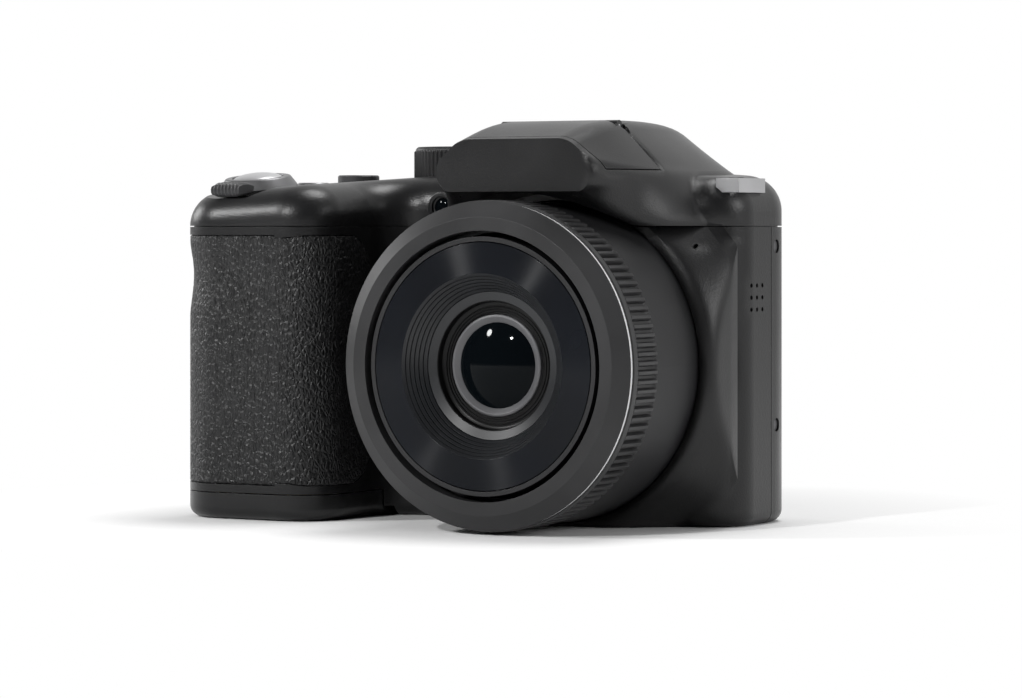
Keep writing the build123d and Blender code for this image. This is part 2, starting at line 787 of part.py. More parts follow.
# Top cover with the hump, and the room in it for the lid and for the sweep of the zoom lever's tab
with BuildPart() as lever_room:
    tab_sweep = math.hypot(lever_tab_reach, lever_tab_width / 2)
    tilted(tab_sweep + free_gap, -lever_tab_drop - panel_gap, cut_over)
    tilted(lever_radius, -lever_tab_drop - panel_gap, cut_over, mode=Mode.SUBTRACT)
    block(everywhere_x, (grip_front, shutter_y - lever_radius / 2), (seam_height, hump_height), mode=Mode.INTERSECT)
    tilted(lever_radius + free_gap, 0, cut_over)

with BuildPart() as lid_room:
    lid_rod(lid_half_width, lid_length + panel_gap)
    block(lid_x, (hump_front - cut_over, lid_hinge_y + seat_gap), (lid_seam_z - panel_gap, hump_height + cut_over),
          mode=Mode.INTERSECT)
    lid_rod(lid_half_width, lid_cut)
    block(lid_x, (lid_hinge_y, lid_hinge_y + lid_cut), (lid_hinge_z, hump_height + cut_over))

with BuildPart() as lug_seats:
    for side, outward, edge_share in shoulders:
        bar_outer, root, heights = lug_spans(side, outward, edge_share)
        block(sorted((bar_outer - outward * lug_bar, root - outward * wall)), shrunk(lug_y, -wall),
              shrunk(heights, -wall))
    add(body_outer, mode=Mode.INTERSECT)

with BuildPart() as top_cover:
    add(body_outer)
    flare()
    with BuildSketch(shutter_plane):
        Circle(lever_radius)
    extrude(amount=-2 * wall, taper=-lever_slope)
    block(everywhere_x, everywhere_y, (seam_height + panel_gap / 2, hump_height), mode=Mode.INTERSECT)
    add(body_hollow, mode=Mode.SUBTRACT)
    add(hump_outer.part)
    block((body_right - cut_over, body_left), everywhere_y, (seam_height + panel_gap / 2, hump_height),
          mode=Mode.INTERSECT)
    tongue(0)
    add(hump_space.part, mode=Mode.SUBTRACT)
    block(around(lens_x, 2 * roof_half_width), (inner_front, inner_rear - wall), (seam_height, lid_seam_z),
          mode=Mode.SUBTRACT)
    tube(0, hump_arch_radius, (hump_front - cut_over, flare_front), mode=Mode.SUBTRACT)
    tube(0, lens_hole_radius, (flare_front - cut_over, inner_front + wall), mode=Mode.SUBTRACT)
    add(lug_seats.part)
    for place, radius in ((power_place, power_radius), (burst_place, burst_radius), ((dial_x, dial_y), spindle_radius)):
        rod((*place, seam_height), (*place, crown_height + cut_over), radius + running_gap, mode=Mode.SUBTRACT)
    rod((dial_x, dial_y, dial_foot - panel_gap), (dial_x, dial_y, hump_height), dial_radius + free_gap,
        mode=Mode.SUBTRACT)
    tilted(lever_collar + running_gap, -wall - cut_over, cut_over, mode=Mode.SUBTRACT)
    disc_along_y(focus_lamp_x, focus_lamp_z, (body_front - cut_over, inner_front + wall), lamp_bezel_radius,
                 mode=Mode.SUBTRACT)
    for side, outward, edge_share in shoulders:
        bar_outer, root, heights = lug_spans(side, outward, edge_share)
        block(sorted((side + outward * cut_over, root)), lug_y, (heights[0], crown_height), mode=Mode.SUBTRACT)
    add(lever_room.part, mode=Mode.SUBTRACT)
    add(lid_room.part, mode=Mode.SUBTRACT)
    lid_knuckles(lid_hinge_radius, 0)
    for side in (-1, 1):
        near = lens_x + side * (lid_knuckle_half + panel_gap)
        far = lens_x + side * (lid_knuckle_half + lid_knuckle_length)
        block(sorted((near, far)), (lid_hinge_y, lid_hinge_y + lid_cut + wall),
              around(lid_hinge_z, lid_hinge_radius))
    lid_rod(lid_half_width, lid_pin_radius, mode=Mode.SUBTRACT)
    for side in (-1, 1):
        saddle_x = around(lens_x + side * capacitor_length / 4, saddle_width)
        block(saddle_x, around(capacitor_y, capacitor_radius), (capacitor_z, hump_height - hump_wall + seat_gap))
    add(flash_capacitor.part, mode=Mode.SUBTRACT)
save(top_cover, "top_cover")

# Lens barrels: every radius is stated about the lens axis, every place along Y from the lens front
name_ring_bore = 25.7
name_ring_face = 28.3
name_ring_edge = 31.3
bevel_depth = 2.0
name_ring_depth = 3.4
silver_ring_radius = 31.2
silver_ring_width = 0.8
grip_ring_width = 10.0
collar_width = 1.8
rib_root_radius = 31.0
rib_depth = 0.55
rib_count = 112
rib_tip_share = 0.4
rib_root_share = 0.7
barrel_bore = 28.2
barrel_rear = 9.0
sleeve_front_radius = 30.9
cam_inner = 25.4
cam_outer = 27.9
cam_front_inset = 8.0
cam_slot_width = 2.0
cam_slot_length = 24.0
cam_slot_slant = 35.0
silver_ring_y = lens_front + bevel_depth
grip_ring_y = silver_ring_y + silver_ring_width
sleeve_y = grip_ring_y + grip_ring_width
barrel_front = lens_front + name_ring_depth


def toothed_face(y, centre, teeth, tip, root, tip_share, root_share, facing):
    """The outline of a toothed wheel across Y, with one tooth at the facing angle."""
    pitch = 2 * math.pi / teeth
    steps = [(root, -root_share / 2), (tip, -tip_share / 2), (tip, tip_share / 2), (root, root_share / 2)]
    corners = [
        (
            radius * math.cos(math.radians(facing) + (tooth + share) * pitch),
            radius * math.sin(math.radians(facing) + (tooth + share) * pitch),
        )
        for tooth in range(teeth)
        for radius, share in steps
    ]
    with BuildSketch(Plane(origin=(centre[0], y, centre[1]), x_dir=(1, 0, 0), z_dir=(0, -1, 0))) as face:
        with BuildLine():
            Polyline(*corners, close=True)
        make_face()
    return face.sketch


lens_centre = (lens_x, lens_axis_height)

with BuildPart() as name_ring:
    turned(
        (name_ring_bore, lens_front),
        (name_ring_face, lens_front),
        (name_ring_edge, silver_ring_y),
        (barrel_radius, silver_ring_y),
        (barrel_radius, barrel_front),
        (name_ring_bore, barrel_front),
    )
save(name_ring, "name_ring")

with BuildPart() as silver_ring:
    tube(barrel_radius, silver_ring_radius, (silver_ring_y, grip_ring_y))
save(silver_ring, "silver_ring")

with BuildPart() as ribbed_ring:
    rib_face = toothed_face(grip_ring_y, lens_centre, rib_count, rib_root_radius + rib_depth, rib_root_radius,
                            rib_tip_share, rib_root_share, 0)
    extrude(rib_face, amount=-grip_ring_width)
    tube(barrel_radius, rib_root_radius + rib_depth, (grip_ring_y, grip_ring_y + collar_width))
    tube(0, barrel_radius, (grip_ring_y - cut_over, sleeve_y + cut_over), mode=Mode.SUBTRACT)
save(ribbed_ring, "ribbed_ring")

# Zoom drive: a gear rim on the cam ring, an idler and the motor's pinion
gear_module = 0.5
rim_teeth = 110
idler_teeth = 16
pinion_teeth = 10
gear_width = 4.0
tooth_rise = 0.8 * gear_module
tooth_fall = 1.2 * gear_module
tooth_tip_share = 0.2
tooth_root_share = 0.56
drive_angle = 200.0
rim_radius = rim_teeth * gear_module / 2
idler_reach = rim_radius + idler_teeth * gear_module / 2
pinion_reach = idler_reach + (idler_teeth + pinion_teeth) * gear_module / 2
gear_y = (barrel_rear - gear_width - 2 * running_gap, barrel_rear - 2 * running_gap)
idler_pin_radius = 0.8
motor_shaft_radius = 0.5
motor_radius = 4.5
motor_length = 10.0
cradle_thickness = 1.2


def on_drive(reach):
    """A point on the line of the zoom drive, given as (x, z)."""
    angle = math.radians(drive_angle)
    return lens_x + reach * math.cos(angle), lens_axis_height + reach * math.sin(angle)


def gear(centre, teeth, facing):
    """A toothed wheel of the zoom drive."""
    pitch_radius = teeth * gear_module / 2
    face = toothed_face(gear_y[0], centre, teeth, pitch_radius + tooth_rise, pitch_radius - tooth_fall,
                        tooth_tip_share, tooth_root_share, facing)
    extrude(face, amount=gear_y[0] - gear_y[1])


idler_x, idler_z = on_drive(idler_reach)
pinion_x, pinion_z = on_drive(pinion_reach)

with BuildPart() as cam_ring:
    gear(lens_centre, rim_teeth, drive_angle)
    tube(0, cam_outer, (lens_front + cam_front_inset, gear_y[0]))
    tube(0, cam_inner, everywhere_y, mode=Mode.SUBTRACT)
    for turn in (0, 120, 240):
        slot_angle = math.radians(drive_angle + turn)
        outward = Vector(math.cos(slot_angle), 0, math.sin(slot_angle))
        with BuildSketch(Plane(origin=Vector(lens_x, (lens_front + gear_y[0]) / 2, lens_axis_height),
                               x_dir=(0, 1, 0), z_dir=outward)):
            SlotOverall(cam_slot_length, cam_slot_width, rotation=cam_slot_slant)
        extrude(amount=cam_outer + cut_over, mode=Mode.SUBTRACT)
save(cam_ring, "cam_ring")

with BuildPart() as fixed_barrel:
    turned(
        (barrel_bore, barrel_front),
        (barrel_radius, barrel_front),
        (barrel_radius, sleeve_y),
        (sleeve_front_radius, sleeve_y),
        (sleeve_radius, flare_front),
        (sleeve_radius, inner_front),
        (barrel_radius, inner_front),
        (barrel_radius, barrel_rear),
        (barrel_bore, barrel_rear),
    )
    disc_along_y(idler_x, idler_z, (gear_y[0] - running_gap, barrel_rear + cut_over),
                 (idler_teeth / 2 + 1) * gear_module + free_gap, mode=Mode.SUBTRACT)
save(fixed_barrel, "fixed_barrel")

with BuildPart() as idler_gear:
    gear((idler_x, idler_z), idler_teeth, drive_angle + 180 / idler_teeth)
    disc_along_y(idler_x, idler_z, gear_y, idler_pin_radius + seat_gap, mode=Mode.SUBTRACT)
save(idler_gear, "idler_gear")

motor_rear = gear_y[0] - free_gap
motor_y = (motor_rear - motor_length, motor_rear)

with BuildPart() as motor_pinion:
    gear((pinion_x, pinion_z), pinion_teeth, drive_angle + 180)
    disc_along_y(pinion_x, pinion_z, (motor_y[0] + motor_radius, gear_y[0]), motor_shaft_radius)
save(motor_pinion, "motor_pinion")

with BuildPart() as zoom_motor:
    disc_along_y(pinion_x, pinion_z, motor_y, motor_radius)
    disc_along_y(pinion_x, pinion_z, (motor_y[0] + motor_radius - seat_gap, motor_rear),
                 motor_shaft_radius + seat_gap, mode=Mode.SUBTRACT)
save(zoom_motor, "zoom_motor")

# Telescoping stages
stage_1_outer = 24.6
stage_1_bore = 23.7
stage_1_front_inset = 0.5
stage_1_rear = -12.2
stage_2_outer = 23.5
stage_2_bore = 22.5
stage_2_front_inset = 1.2
stage_2_rear = -15.0
follower_radius = 1.0
follower_height = 0.6
relay_radius = 7.0
relay_tube = 8.5
relay_length = 11.6
face_inner = 17.6
face_inset = 0.5
face_slope = -0.2
face_thickness = 1.4
groove_count = 6
groove_inner = 14.1
groove_depth = 4.1
cell_flat = 12.4
cell_bore = 12.2
cell_step = 11.0
element_radius = 8.2
element_inset = 6.7
element_depth = 6.0
element_dome = 2.0
retainer_outer = 9.8
retainer_inset = 5.9
retainer_depth = 1.6
cell_rear = 20.0

with BuildPart() as stage_1_barrel:
    tube(stage_1_bore, stage_1_outer, (lens_front + stage_1_front_inset, stage_1_rear))
    tube(relay_tube, stage_1_outer, (stage_1_rear - wall, stage_1_rear))
    tube(relay_radius, relay_tube, (stage_1_rear - relay_length, stage_1_rear))
    for turn in (0, 120, 240):
        follower_angle = math.radians(drive_angle + turn)
        outward = Vector(math.cos(follower_angle), 0, math.sin(follower_angle))
        seat = Vector(lens_x, stage_1_rear - 2 * follower_radius, lens_axis_height) + outward * stage_1_bore
        rod(seat, seat + outward * (stage_1_outer - stage_1_bore + follower_height), follower_radius)
save(stage_1_barrel, "stage_1_barrel")


def lens_element(radius, front, rear, dome):
    """A glass element with a domed front, turned about the lens axis."""
    with BuildSketch(lens_section) as profile:
        with BuildLine():
            ThreePointArc((0, front - dome), (radius / 2, front - dome * 3 / 4), (radius, front))
            Polyline((radius, front), (radius, rear), (0, rear), (0, front - dome))
        make_face()
    revolve(profile.sketch, axis=lens_axis)


with BuildPart() as relay_element:
    lens_element(relay_radius, stage_1_rear - relay_length + 2 * wall, stage_1_rear - 2 * wall, element_dome)
save(relay_element, "relay_element")

with BuildPart() as stage_2_barrel:
    tube(stage_2_bore, stage_2_outer, (lens_front + stage_2_front_inset, stage_2_rear))
save(stage_2_barrel, "stage_2_barrel")

face_y = lens_front + face_inset
grooves_y = face_y + face_slope
cell_y = grooves_y + groove_depth

with BuildPart() as face_ring:
    turned(
        (stage_2_outer, face_y),
        (face_inner, grooves_y),
        (face_inner, grooves_y + face_thickness),
        (stage_2_bore, face_y + face_thickness),
        (stage_2_bore, lens_front + stage_2_front_inset),
        (stage_2_outer, lens_front + stage_2_front_inset),
    )
save(face_ring, "face_ring")

with BuildPart() as front_cell:
    groove_steps = [(face_inner, grooves_y)]
    for number in range(groove_count):
        inner = face_inner - (face_inner - groove_inner) * (number + 1) / groove_count
        deep = grooves_y + groove_depth * (number + 1) / groove_count
        groove_steps += [(inner, groove_steps[-1][1]), (inner, deep)]
    turned(
        *groove_steps,
        (cell_flat, cell_y),
        (cell_bore, lens_front + retainer_inset),
        (cell_step, lens_front + retainer_inset),
        (cell_step, lens_front + element_inset),
        (retainer_outer, lens_front + element_inset),
        (retainer_outer, lens_front + retainer_inset + retainer_depth),
        (element_radius, lens_front + retainer_inset + retainer_depth),
        (element_radius, lens_front + cell_rear),
        (face_inner, lens_front + cell_rear),
        (face_inner, cell_y + wall),
        (stage_2_bore, cell_y + wall),
        (stage_2_bore, face_y + face_thickness),
        (face_inner, grooves_y + face_thickness),
    )
save(front_cell, "front_cell")

with BuildPart() as front_element:
    front = lens_front + element_inset
    lens_element(element_radius, front, front + element_depth, element_dome)
save(front_element, "front_element")

with BuildPart() as retaining_ring:
    retainer_y = lens_front + retainer_inset
    turned(
        (element_radius, retainer_y + retainer_depth / 2),
        (retainer_outer - retainer_depth / 4, retainer_y),
        (retainer_outer, retainer_y + retainer_depth / 4),
        (retainer_outer, retainer_y + retainer_depth),
        (element_radius, retainer_y + retainer_depth),
    )
save(retaining_ring, "retaining_ring")

# Lens base, sensor and electronics behind the barrel
base_thickness = 2.0
base_width = 58.0
base_height = 52.0
sensor_window = 6.0
rear_cell_length = 7.0
rear_element_radius = 6.0
sensor_width = 12.0
sensor_thickness = 1.4
board_thickness = 1.2
board_width = 70.0
board_height = 46.0
chip_height = 1.4
chip_places_shares = [(0.2, 0.3, 0.2, 0.25), (0.45, 0.65, 0.16, 0.2), (0.75, 0.35, 0.24, 0.3), (0.2, 0.75, 0.1, 0.16)]
base_y = (barrel_rear, barrel_rear + base_thickness)
base_x = around(lens_x - board_thickness, base_width)
board_foot = 2 * wall + board_thickness

with BuildPart() as lens_base:
    block(base_x, base_y, around(lens_axis_height - board_thickness, base_height))
    block((pinion_x - motor_radius, base_x[0] + wall), base_y,
          (pinion_z - motor_radius - cradle_thickness, pinion_z + motor_radius))
    block((pinion_x - motor_radius, pinion_x + motor_radius), (motor_y[0], base_y[0]),
          (pinion_z - motor_radius - cradle_thickness, pinion_z - motor_radius - seat_gap))
    disc_along_y(idler_x, idler_z, (gear_y[0] - seat_gap, base_y[0]), idler_pin_radius)
    tube(rear_element_radius, rear_element_radius + wall / 2, (barrel_rear - rear_cell_length, barrel_rear))
    tube(0, sensor_window, everywhere_y, mode=Mode.SUBTRACT)
save(lens_base, "lens_base")

with BuildPart() as rear_element:
    rear_front = barrel_rear - rear_cell_length + wall
    lens_element(rear_element_radius, rear_front, rear_front + wall, wall / 2)
save(rear_element, "rear_element")

with BuildPart() as image_sensor:
    block(around(lens_x, sensor_width), (base_y[1], base_y[1] + sensor_thickness),
          around(lens_axis_height, sensor_width))
save(image_sensor, "image_sensor")

board_y = (base_y[1] + sensor_thickness + panel_gap, base_y[1] + sensor_thickness + panel_gap + board_thickness)
board_x = (screen_left + 2 * wall - board_width, screen_left + 2 * wall)

with BuildPart() as main_board:
    block(board_x, board_y, (board_foot, board_foot + board_height))
    for along, up, width, height in chip_places_shares:
        block(around(board_x[0] + along * board_width, width * board_width),
              (board_y[1], board_y[1] + chip_height), around(board_foot + up * board_height, height * board_height))
save(main_board, "main_board")

with BuildPart() as speaker:
    speaker_face = body_left - wall - speaker_seat
    rod((speaker_face, speaker_y, speaker_z), (speaker_face - speaker_thickness, speaker_y, speaker_z), speaker_radius)
save(speaker, "speaker")

with BuildPart() as microphone:
    disc_along_y(mic_x, mic_z, (body_front + mic_depth, body_front + mic_depth + mic_thickness), mic_radius)
save(microphone, "microphone")

# Power: four cells standing in the grip, their chamber and contacts, and the card beside them
cell_radius = 7.1
cell_length = 49.5
nub_radius = 2.7
nub_height = 1.0
cell_pitch = 15.2
chamber_wall = 0.8
cell_foot = 4.6
contact_thickness = 0.4
contact_slope = 45.0
cells_x = (body_right + grip_inner) / 2
cells_y = -18.6
chamber_foot = door_height + panel_gap
chamber_head = cell_foot + cell_length + nub_height + contact_thickness + panel_gap

with BuildPart() as aa_cells:
    for row in (-1, 1):
        for column in (-1, 1):
            x, y = cells_x + row * cell_pitch / 2, cells_y + column * cell_pitch / 2
            rod((x, y, cell_foot), (x, y, cell_foot + cell_length), cell_radius)
            end = cell_foot + cell_length if row * column > 0 else cell_foot
            rod((x, y, end), (x, y, end + row * column * nub_height), nub_radius)
save(aa_cells, "aa_cells")

with BuildPart() as battery_chamber:
    chamber_bore = cell_pitch + 2 * (cell_radius + seat_gap)
    with BuildSketch(Plane(origin=(cells_x, cells_y, chamber_foot))):
        RectangleRounded(chamber_bore + 2 * chamber_wall, chamber_bore + 2 * chamber_wall, cell_radius + chamber_wall)
    extrude(amount=chamber_head + chamber_wall - chamber_foot)
    with BuildSketch(Plane(origin=(cells_x, cells_y, chamber_foot))):
        RectangleRounded(chamber_bore, chamber_bore, cell_radius)
    extrude(amount=chamber_head - chamber_foot, mode=Mode.SUBTRACT)
save(battery_chamber, "battery_chamber")

with BuildPart() as contact_plates:
    for row in (-1, 1):
        block(around(cells_x + row * cell_pitch / 2, 2 * nub_radius), around(cells_y, cell_pitch + 2 * nub_radius),
              (chamber_head - contact_thickness, chamber_head))
save(contact_plates, "contact_plates")

with BuildPart() as door_contacts:
    for column in (-1, 1):
        block(around(cells_x, cell_pitch + 2 * nub_radius), around(cells_y + column * cell_pitch / 2, 2 * nub_radius),
              (door_floor, door_floor + contact_thickness))
        for row in (-1, 1):
            x, y = cells_x + row * cell_pitch / 2, cells_y + column * cell_pitch / 2
            with BuildSketch(Plane(origin=(x, y, door_floor + contact_thickness))):
                Circle(nub_radius)
            extrude(amount=nub_height, taper=contact_slope)
save(door_contacts, "door_contacts")

card_width = 24.0
card_height = 32.0
card_thickness = 2.1
slot_wall = 1.2
slot_height = 30.0
card_foot = door_height + free_gap
card_x = around(cells_x + slot_wall * 2, card_width)
card_y = (cells_y + cell_pitch / 2 + cell_radius + chamber_wall + free_gap + slot_wall + running_gap)

with BuildPart() as memory_card:
    block(card_x, (card_y, card_y + card_thickness), (card_foot, card_foot + card_height))
    chamfer(memory_card.edges().filter_by(Axis.Y).sort_by(Axis.Z)[-1], card_thickness)
save(memory_card, "memory_card")

with BuildPart() as card_slot:
    slot_x = shrunk(card_x, -slot_wall)
    slot_y = (card_y - slot_wall, card_y + card_thickness + slot_wall)
    block(slot_x, slot_y, (card_foot + wall, card_foot + card_height + slot_wall + panel_gap))
    block(shrunk(card_x, -running_gap), (card_y - running_gap, card_y + card_thickness + running_gap),
          (0, card_foot + card_height + panel_gap), mode=Mode.SUBTRACT)
save(card_slot, "card_slot")

# Port cover on the grip side, and the socket behind it
with BuildPart() as port_cover:
    block((body_right, body_right + port_thickness), (port_y[0], port_hinge_y), port_z)
    rod((port_hinge_x, port_hinge_y, port_z[0]), (port_hinge_x, port_hinge_y, port_z[1]), port_roll)
save(port_cover, "port_cover")

with BuildPart() as usb_socket:
    socket_x = (body_right + port_thickness + free_gap, body_right + port_thickness + free_gap + plug_depth)
    block(socket_x, around(plug_y, plug_width), around(plug_z, plug_height))
    block((body_right, socket_x[1] - wall / 2), around(plug_y, plug_width - wall / 2),
          around(plug_z, plug_height - wall / 2), mode=Mode.SUBTRACT)
save(usb_socket, "usb_socket")
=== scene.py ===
"""Looks of the bridge camera: finishes for every surface, and finer meshes where the camera shows detail."""
import math

import bmesh
import bpy
from mathutils import Matrix, Vector, noise


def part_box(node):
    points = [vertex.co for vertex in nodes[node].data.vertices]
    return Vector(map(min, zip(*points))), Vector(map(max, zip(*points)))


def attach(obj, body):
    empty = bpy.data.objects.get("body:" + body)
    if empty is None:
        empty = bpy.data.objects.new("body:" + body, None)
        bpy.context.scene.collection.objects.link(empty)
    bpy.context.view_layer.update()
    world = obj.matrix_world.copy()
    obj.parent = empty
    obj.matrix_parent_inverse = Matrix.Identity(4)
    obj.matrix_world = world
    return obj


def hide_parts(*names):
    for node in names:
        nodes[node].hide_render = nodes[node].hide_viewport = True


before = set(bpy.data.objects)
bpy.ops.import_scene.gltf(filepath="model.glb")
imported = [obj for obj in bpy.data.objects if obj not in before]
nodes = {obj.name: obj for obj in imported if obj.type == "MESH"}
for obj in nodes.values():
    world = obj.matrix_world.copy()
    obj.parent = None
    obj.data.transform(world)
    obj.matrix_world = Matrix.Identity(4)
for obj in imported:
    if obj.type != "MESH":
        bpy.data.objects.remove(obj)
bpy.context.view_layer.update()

MM = 0.001
TURN = 2 * math.pi
# Least radius of a turned profile in millimetres, where it would otherwise touch its axis
AXIS = 0.01

# Places of the lens in millimetres, measured on the frame
ring_low, ring_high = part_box("name_ring")
lens_x = (ring_low.x + ring_high.x) / 2 / MM
lens_z = (ring_low.z + ring_high.z) / 2 / MM
lens_front = ring_low.y / MM


# Materials

def new_material(name):
    """A new node material, with its tree and its shader."""
    material = bpy.data.materials.new(name)
    material.use_nodes = True
    tree = material.node_tree
    return material, tree, tree.nodes["Principled BSDF"]


def coordinates(tree, scale=(1, 1, 1)):
    """Object coordinates, stretched by a scale."""
    source = tree.nodes.new("ShaderNodeTexCoord")
    mapping = tree.nodes.new("ShaderNodeMapping")
    mapping.inputs["Scale"].default_value = scale
    tree.links.new(source.outputs["Object"], mapping.inputs["Vector"])
    return mapping.outputs["Vector"]


def noise_texture(tree, vector, scale, detail, roughness=0.5):
    """A noise texture's value."""
    texture = tree.nodes.new("ShaderNodeTexNoise")
    texture.inputs["Scale"].default_value = scale
    texture.inputs["Detail"].default_value = detail
    texture.inputs["Roughness"].default_value = roughness
    tree.links.new(vector, texture.inputs["Vector"])
    return texture.outputs["Fac"]


def remap(tree, value, low, high, start=0.3, end=0.7):
    """Carries a value from the range between start and end into the one between low and high."""
    node = tree.nodes.new("ShaderNodeMapRange")
    node.inputs["From Min"].default_value = start
    node.inputs["From Max"].default_value = end
    node.inputs["To Min"].default_value = low
    node.inputs["To Max"].default_value = high
    tree.links.new(value, node.inputs["Value"])
    return node.outputs["Result"]


def mix_colour(tree, factor, low, high):
    """A colour between two, by a factor."""
    node = tree.nodes.new("ShaderNodeMix")
    node.data_type = "RGBA"
    node.inputs["A"].default_value = (*low, 1)
    node.inputs["B"].default_value = (*high, 1)
    tree.links.new(factor, node.inputs["Factor"])
    return node.outputs["Result"]


def combine(tree, operation, first, second):
    """Two values multiplied, or the larger of them."""
    node = tree.nodes.new("ShaderNodeMath")
    node.operation = operation
    tree.links.new(first, node.inputs[0])
    tree.links.new(second, node.inputs[1])
    return node.outputs["Value"]


def bump(tree, height, strength, distance, below):
    """A bump from a height, over another normal."""
    node = tree.nodes.new("ShaderNodeBump")
    node.inputs["Strength"].default_value = strength
    node.inputs["Distance"].default_value = distance
    tree.links.new(height, node.inputs["Height"])
    tree.links.new(below, node.inputs["Normal"])
    return node.outputs["Normal"]


def soft_edge(tree, radius, samples=4):
    """A normal that rounds the edges of a mesh."""
    bevel = tree.nodes.new("ShaderNodeBevel")
    bevel.samples = samples
    bevel.inputs["Radius"].default_value = radius
    return bevel.outputs["Normal"]


def moulded(name, colour, roughness, grain=1600.0, depth=0.00003, strength=0.5, metallic=0.0, spread=0.25,
            specular=0.5, edge=0.00012):
    """Moulded plastic or satin metal: rounded edges, a fine grain, and slight changes of tone and gloss."""
    material, tree, shader = new_material(name)
    vector = coordinates(tree)
    cloud = noise_texture(tree, vector, scale=60.0, detail=3.0)
    fine = noise_texture(tree, vector, scale=grain, detail=2.0, roughness=0.6)
    dark, light = [part * (1 - spread) for part in colour], [part * (1 + spread) for part in colour]
    glossy, dull = roughness * 0.9, min(roughness * 1.12, 1)
    tree.links.new(mix_colour(tree, remap(tree, cloud, 0, 1), dark, light), shader.inputs["Base Color"])
    tree.links.new(remap(tree, cloud, glossy, dull), shader.inputs["Roughness"])
    tree.links.new(bump(tree, fine, strength, depth, soft_edge(tree, edge)), shader.inputs["Normal"])
    shader.inputs["Metallic"].default_value = metallic
    shader.inputs["Specular IOR Level"].default_value = specular
    return material


BODY_COLOUR, BODY_ROUGHNESS = (0.008, 0.008, 0.0085), 0.31
# Grains of the finishes, in metres deep: the body's, and those of smooth parts
TEXTURED = {"grain": 2600.0, "depth": 0.00005, "strength": 0.8}
SMOOTH = {"grain": 2600.0, "depth": 0.00001}
SATIN = {"grain": 3000.0, "depth": 0.00001}


def blended(name, specular, wide, limits):
    """The body's plastic, with wide soft edges that set in between two limits along each axis, in metres."""
    material = moulded(name, BODY_COLOUR, BODY_ROUGHNESS, specular=specular, **TEXTURED)
    tree = material.node_tree
    shader = tree.nodes["Principled BSDF"]
    grain = shader.inputs["Normal"].links[0].from_node
    narrow = grain.inputs["Normal"].links[0].from_socket
    axes = tree.nodes.new("ShaderNodeSeparateXYZ")
    tree.links.new(coordinates(tree), axes.inputs["Vector"])
    along_x, along_y, along_z = (remap(tree, axes.outputs[axis], 0, 1, start, end)
                                 for axis, start, end in limits)
    share = combine(tree, "MULTIPLY", combine(tree, "MULTIPLY", along_x, along_y), along_z)
    both = tree.nodes.new("ShaderNodeMix")
    both.data_type = "VECTOR"
    tree.links.new(share, both.inputs["Factor"])
    # A mix node has float sockets of the same names before its vector sockets, so these go by number
    tree.links.new(narrow, both.inputs[4])
    tree.links.new(soft_edge(tree, wide, samples=10), both.inputs[5])
    tree.links.new(both.outputs[1], grain.inputs["Normal"])
    return material


def turned_gloss(name, colour, roughness, stretch, specular):
    """A glossy face with fine marks round its axis, which draw a lamp out into streaks across them."""
    material = moulded(name, colour, roughness, grain=900.0, depth=0.000002, spread=0.3, specular=specular)
    tree = material.node_tree
    shader = tree.nodes["Principled BSDF"]
    tangent = tree.nodes.new("ShaderNodeTangent")
    tangent.direction_type = "RADIAL"
    tangent.axis = "Y"
    tree.links.new(tangent.outputs["Tangent"], shader.inputs["Tangent"])
    shader.inputs["Anisotropic"].default_value = stretch
    shader.inputs["Anisotropic Rotation"].default_value = 0.25
    return material


def creased(name, colour, roughness, pebbles=1250.0, drift_scale=700.0, drift=0.0011, crease=0.3,
            depth=0.00018):
    """Leather-grained rubber: fine creases between pebbles, over the coarser creases of the mesh."""
    material = moulded(name, colour, roughness, grain=3000.0, depth=0.00003, specular=0.4)
    tree = material.node_tree
    shader = tree.nodes["Principled BSDF"]
    grain = shader.inputs["Normal"].links[0].from_socket
    cells = tree.nodes.new("ShaderNodeTexVoronoi")
    cells.feature = "DISTANCE_TO_EDGE"
    cells.inputs["Scale"].default_value = pebbles
    place = coordinates(tree, (1, 1, 0.6))
    wander = tree.nodes.new("ShaderNodeTexNoise")
    wander.inputs["Scale"].default_value = drift_scale
    tree.links.new(place, wander.inputs["Vector"])
    shifted = tree.nodes.new("ShaderNodeVectorMath")
    shifted.operation = "MULTIPLY_ADD"
    shifted.inputs[1].default_value = (drift, drift, drift)
    tree.links.new(wander.outputs["Color"], shifted.inputs[0])
    tree.links.new(place, shifted.inputs[2])
    tree.links.new(shifted.outputs["Vector"], cells.inputs["Vector"])
    height = remap(tree, cells.outputs["Distance"], 0, 1, 0.0, crease)
    tree.links.new(bump(tree, height, 1.0, depth, grain), shader.inputs["Normal"])
    return material


def glassy(name, colour, roughness, coat, coat_colour, transmission=0.0, specular=0.5):
    """Glass or glossy cover with a coated sheen and faint dust."""
    material, tree, shader = new_material(name)
    dust = noise_texture(tree, coordinates(tree), scale=900.0, detail=4.0, roughness=0.7)
    tree.links.new(remap(tree, dust, roughness, roughness + 0.05, 0.45, 0.8), shader.inputs["Roughness"])
    shader.inputs["Base Color"].default_value = (*colour, 1)
    shader.inputs["Transmission Weight"].default_value = transmission
    shader.inputs["Coat Weight"].default_value = coat
    shader.inputs["Coat Tint"].default_value = (*coat_colour, 1)
    shader.inputs["Coat Roughness"].default_value = 0.03
    shader.inputs["Specular IOR Level"].default_value = specular
    return material


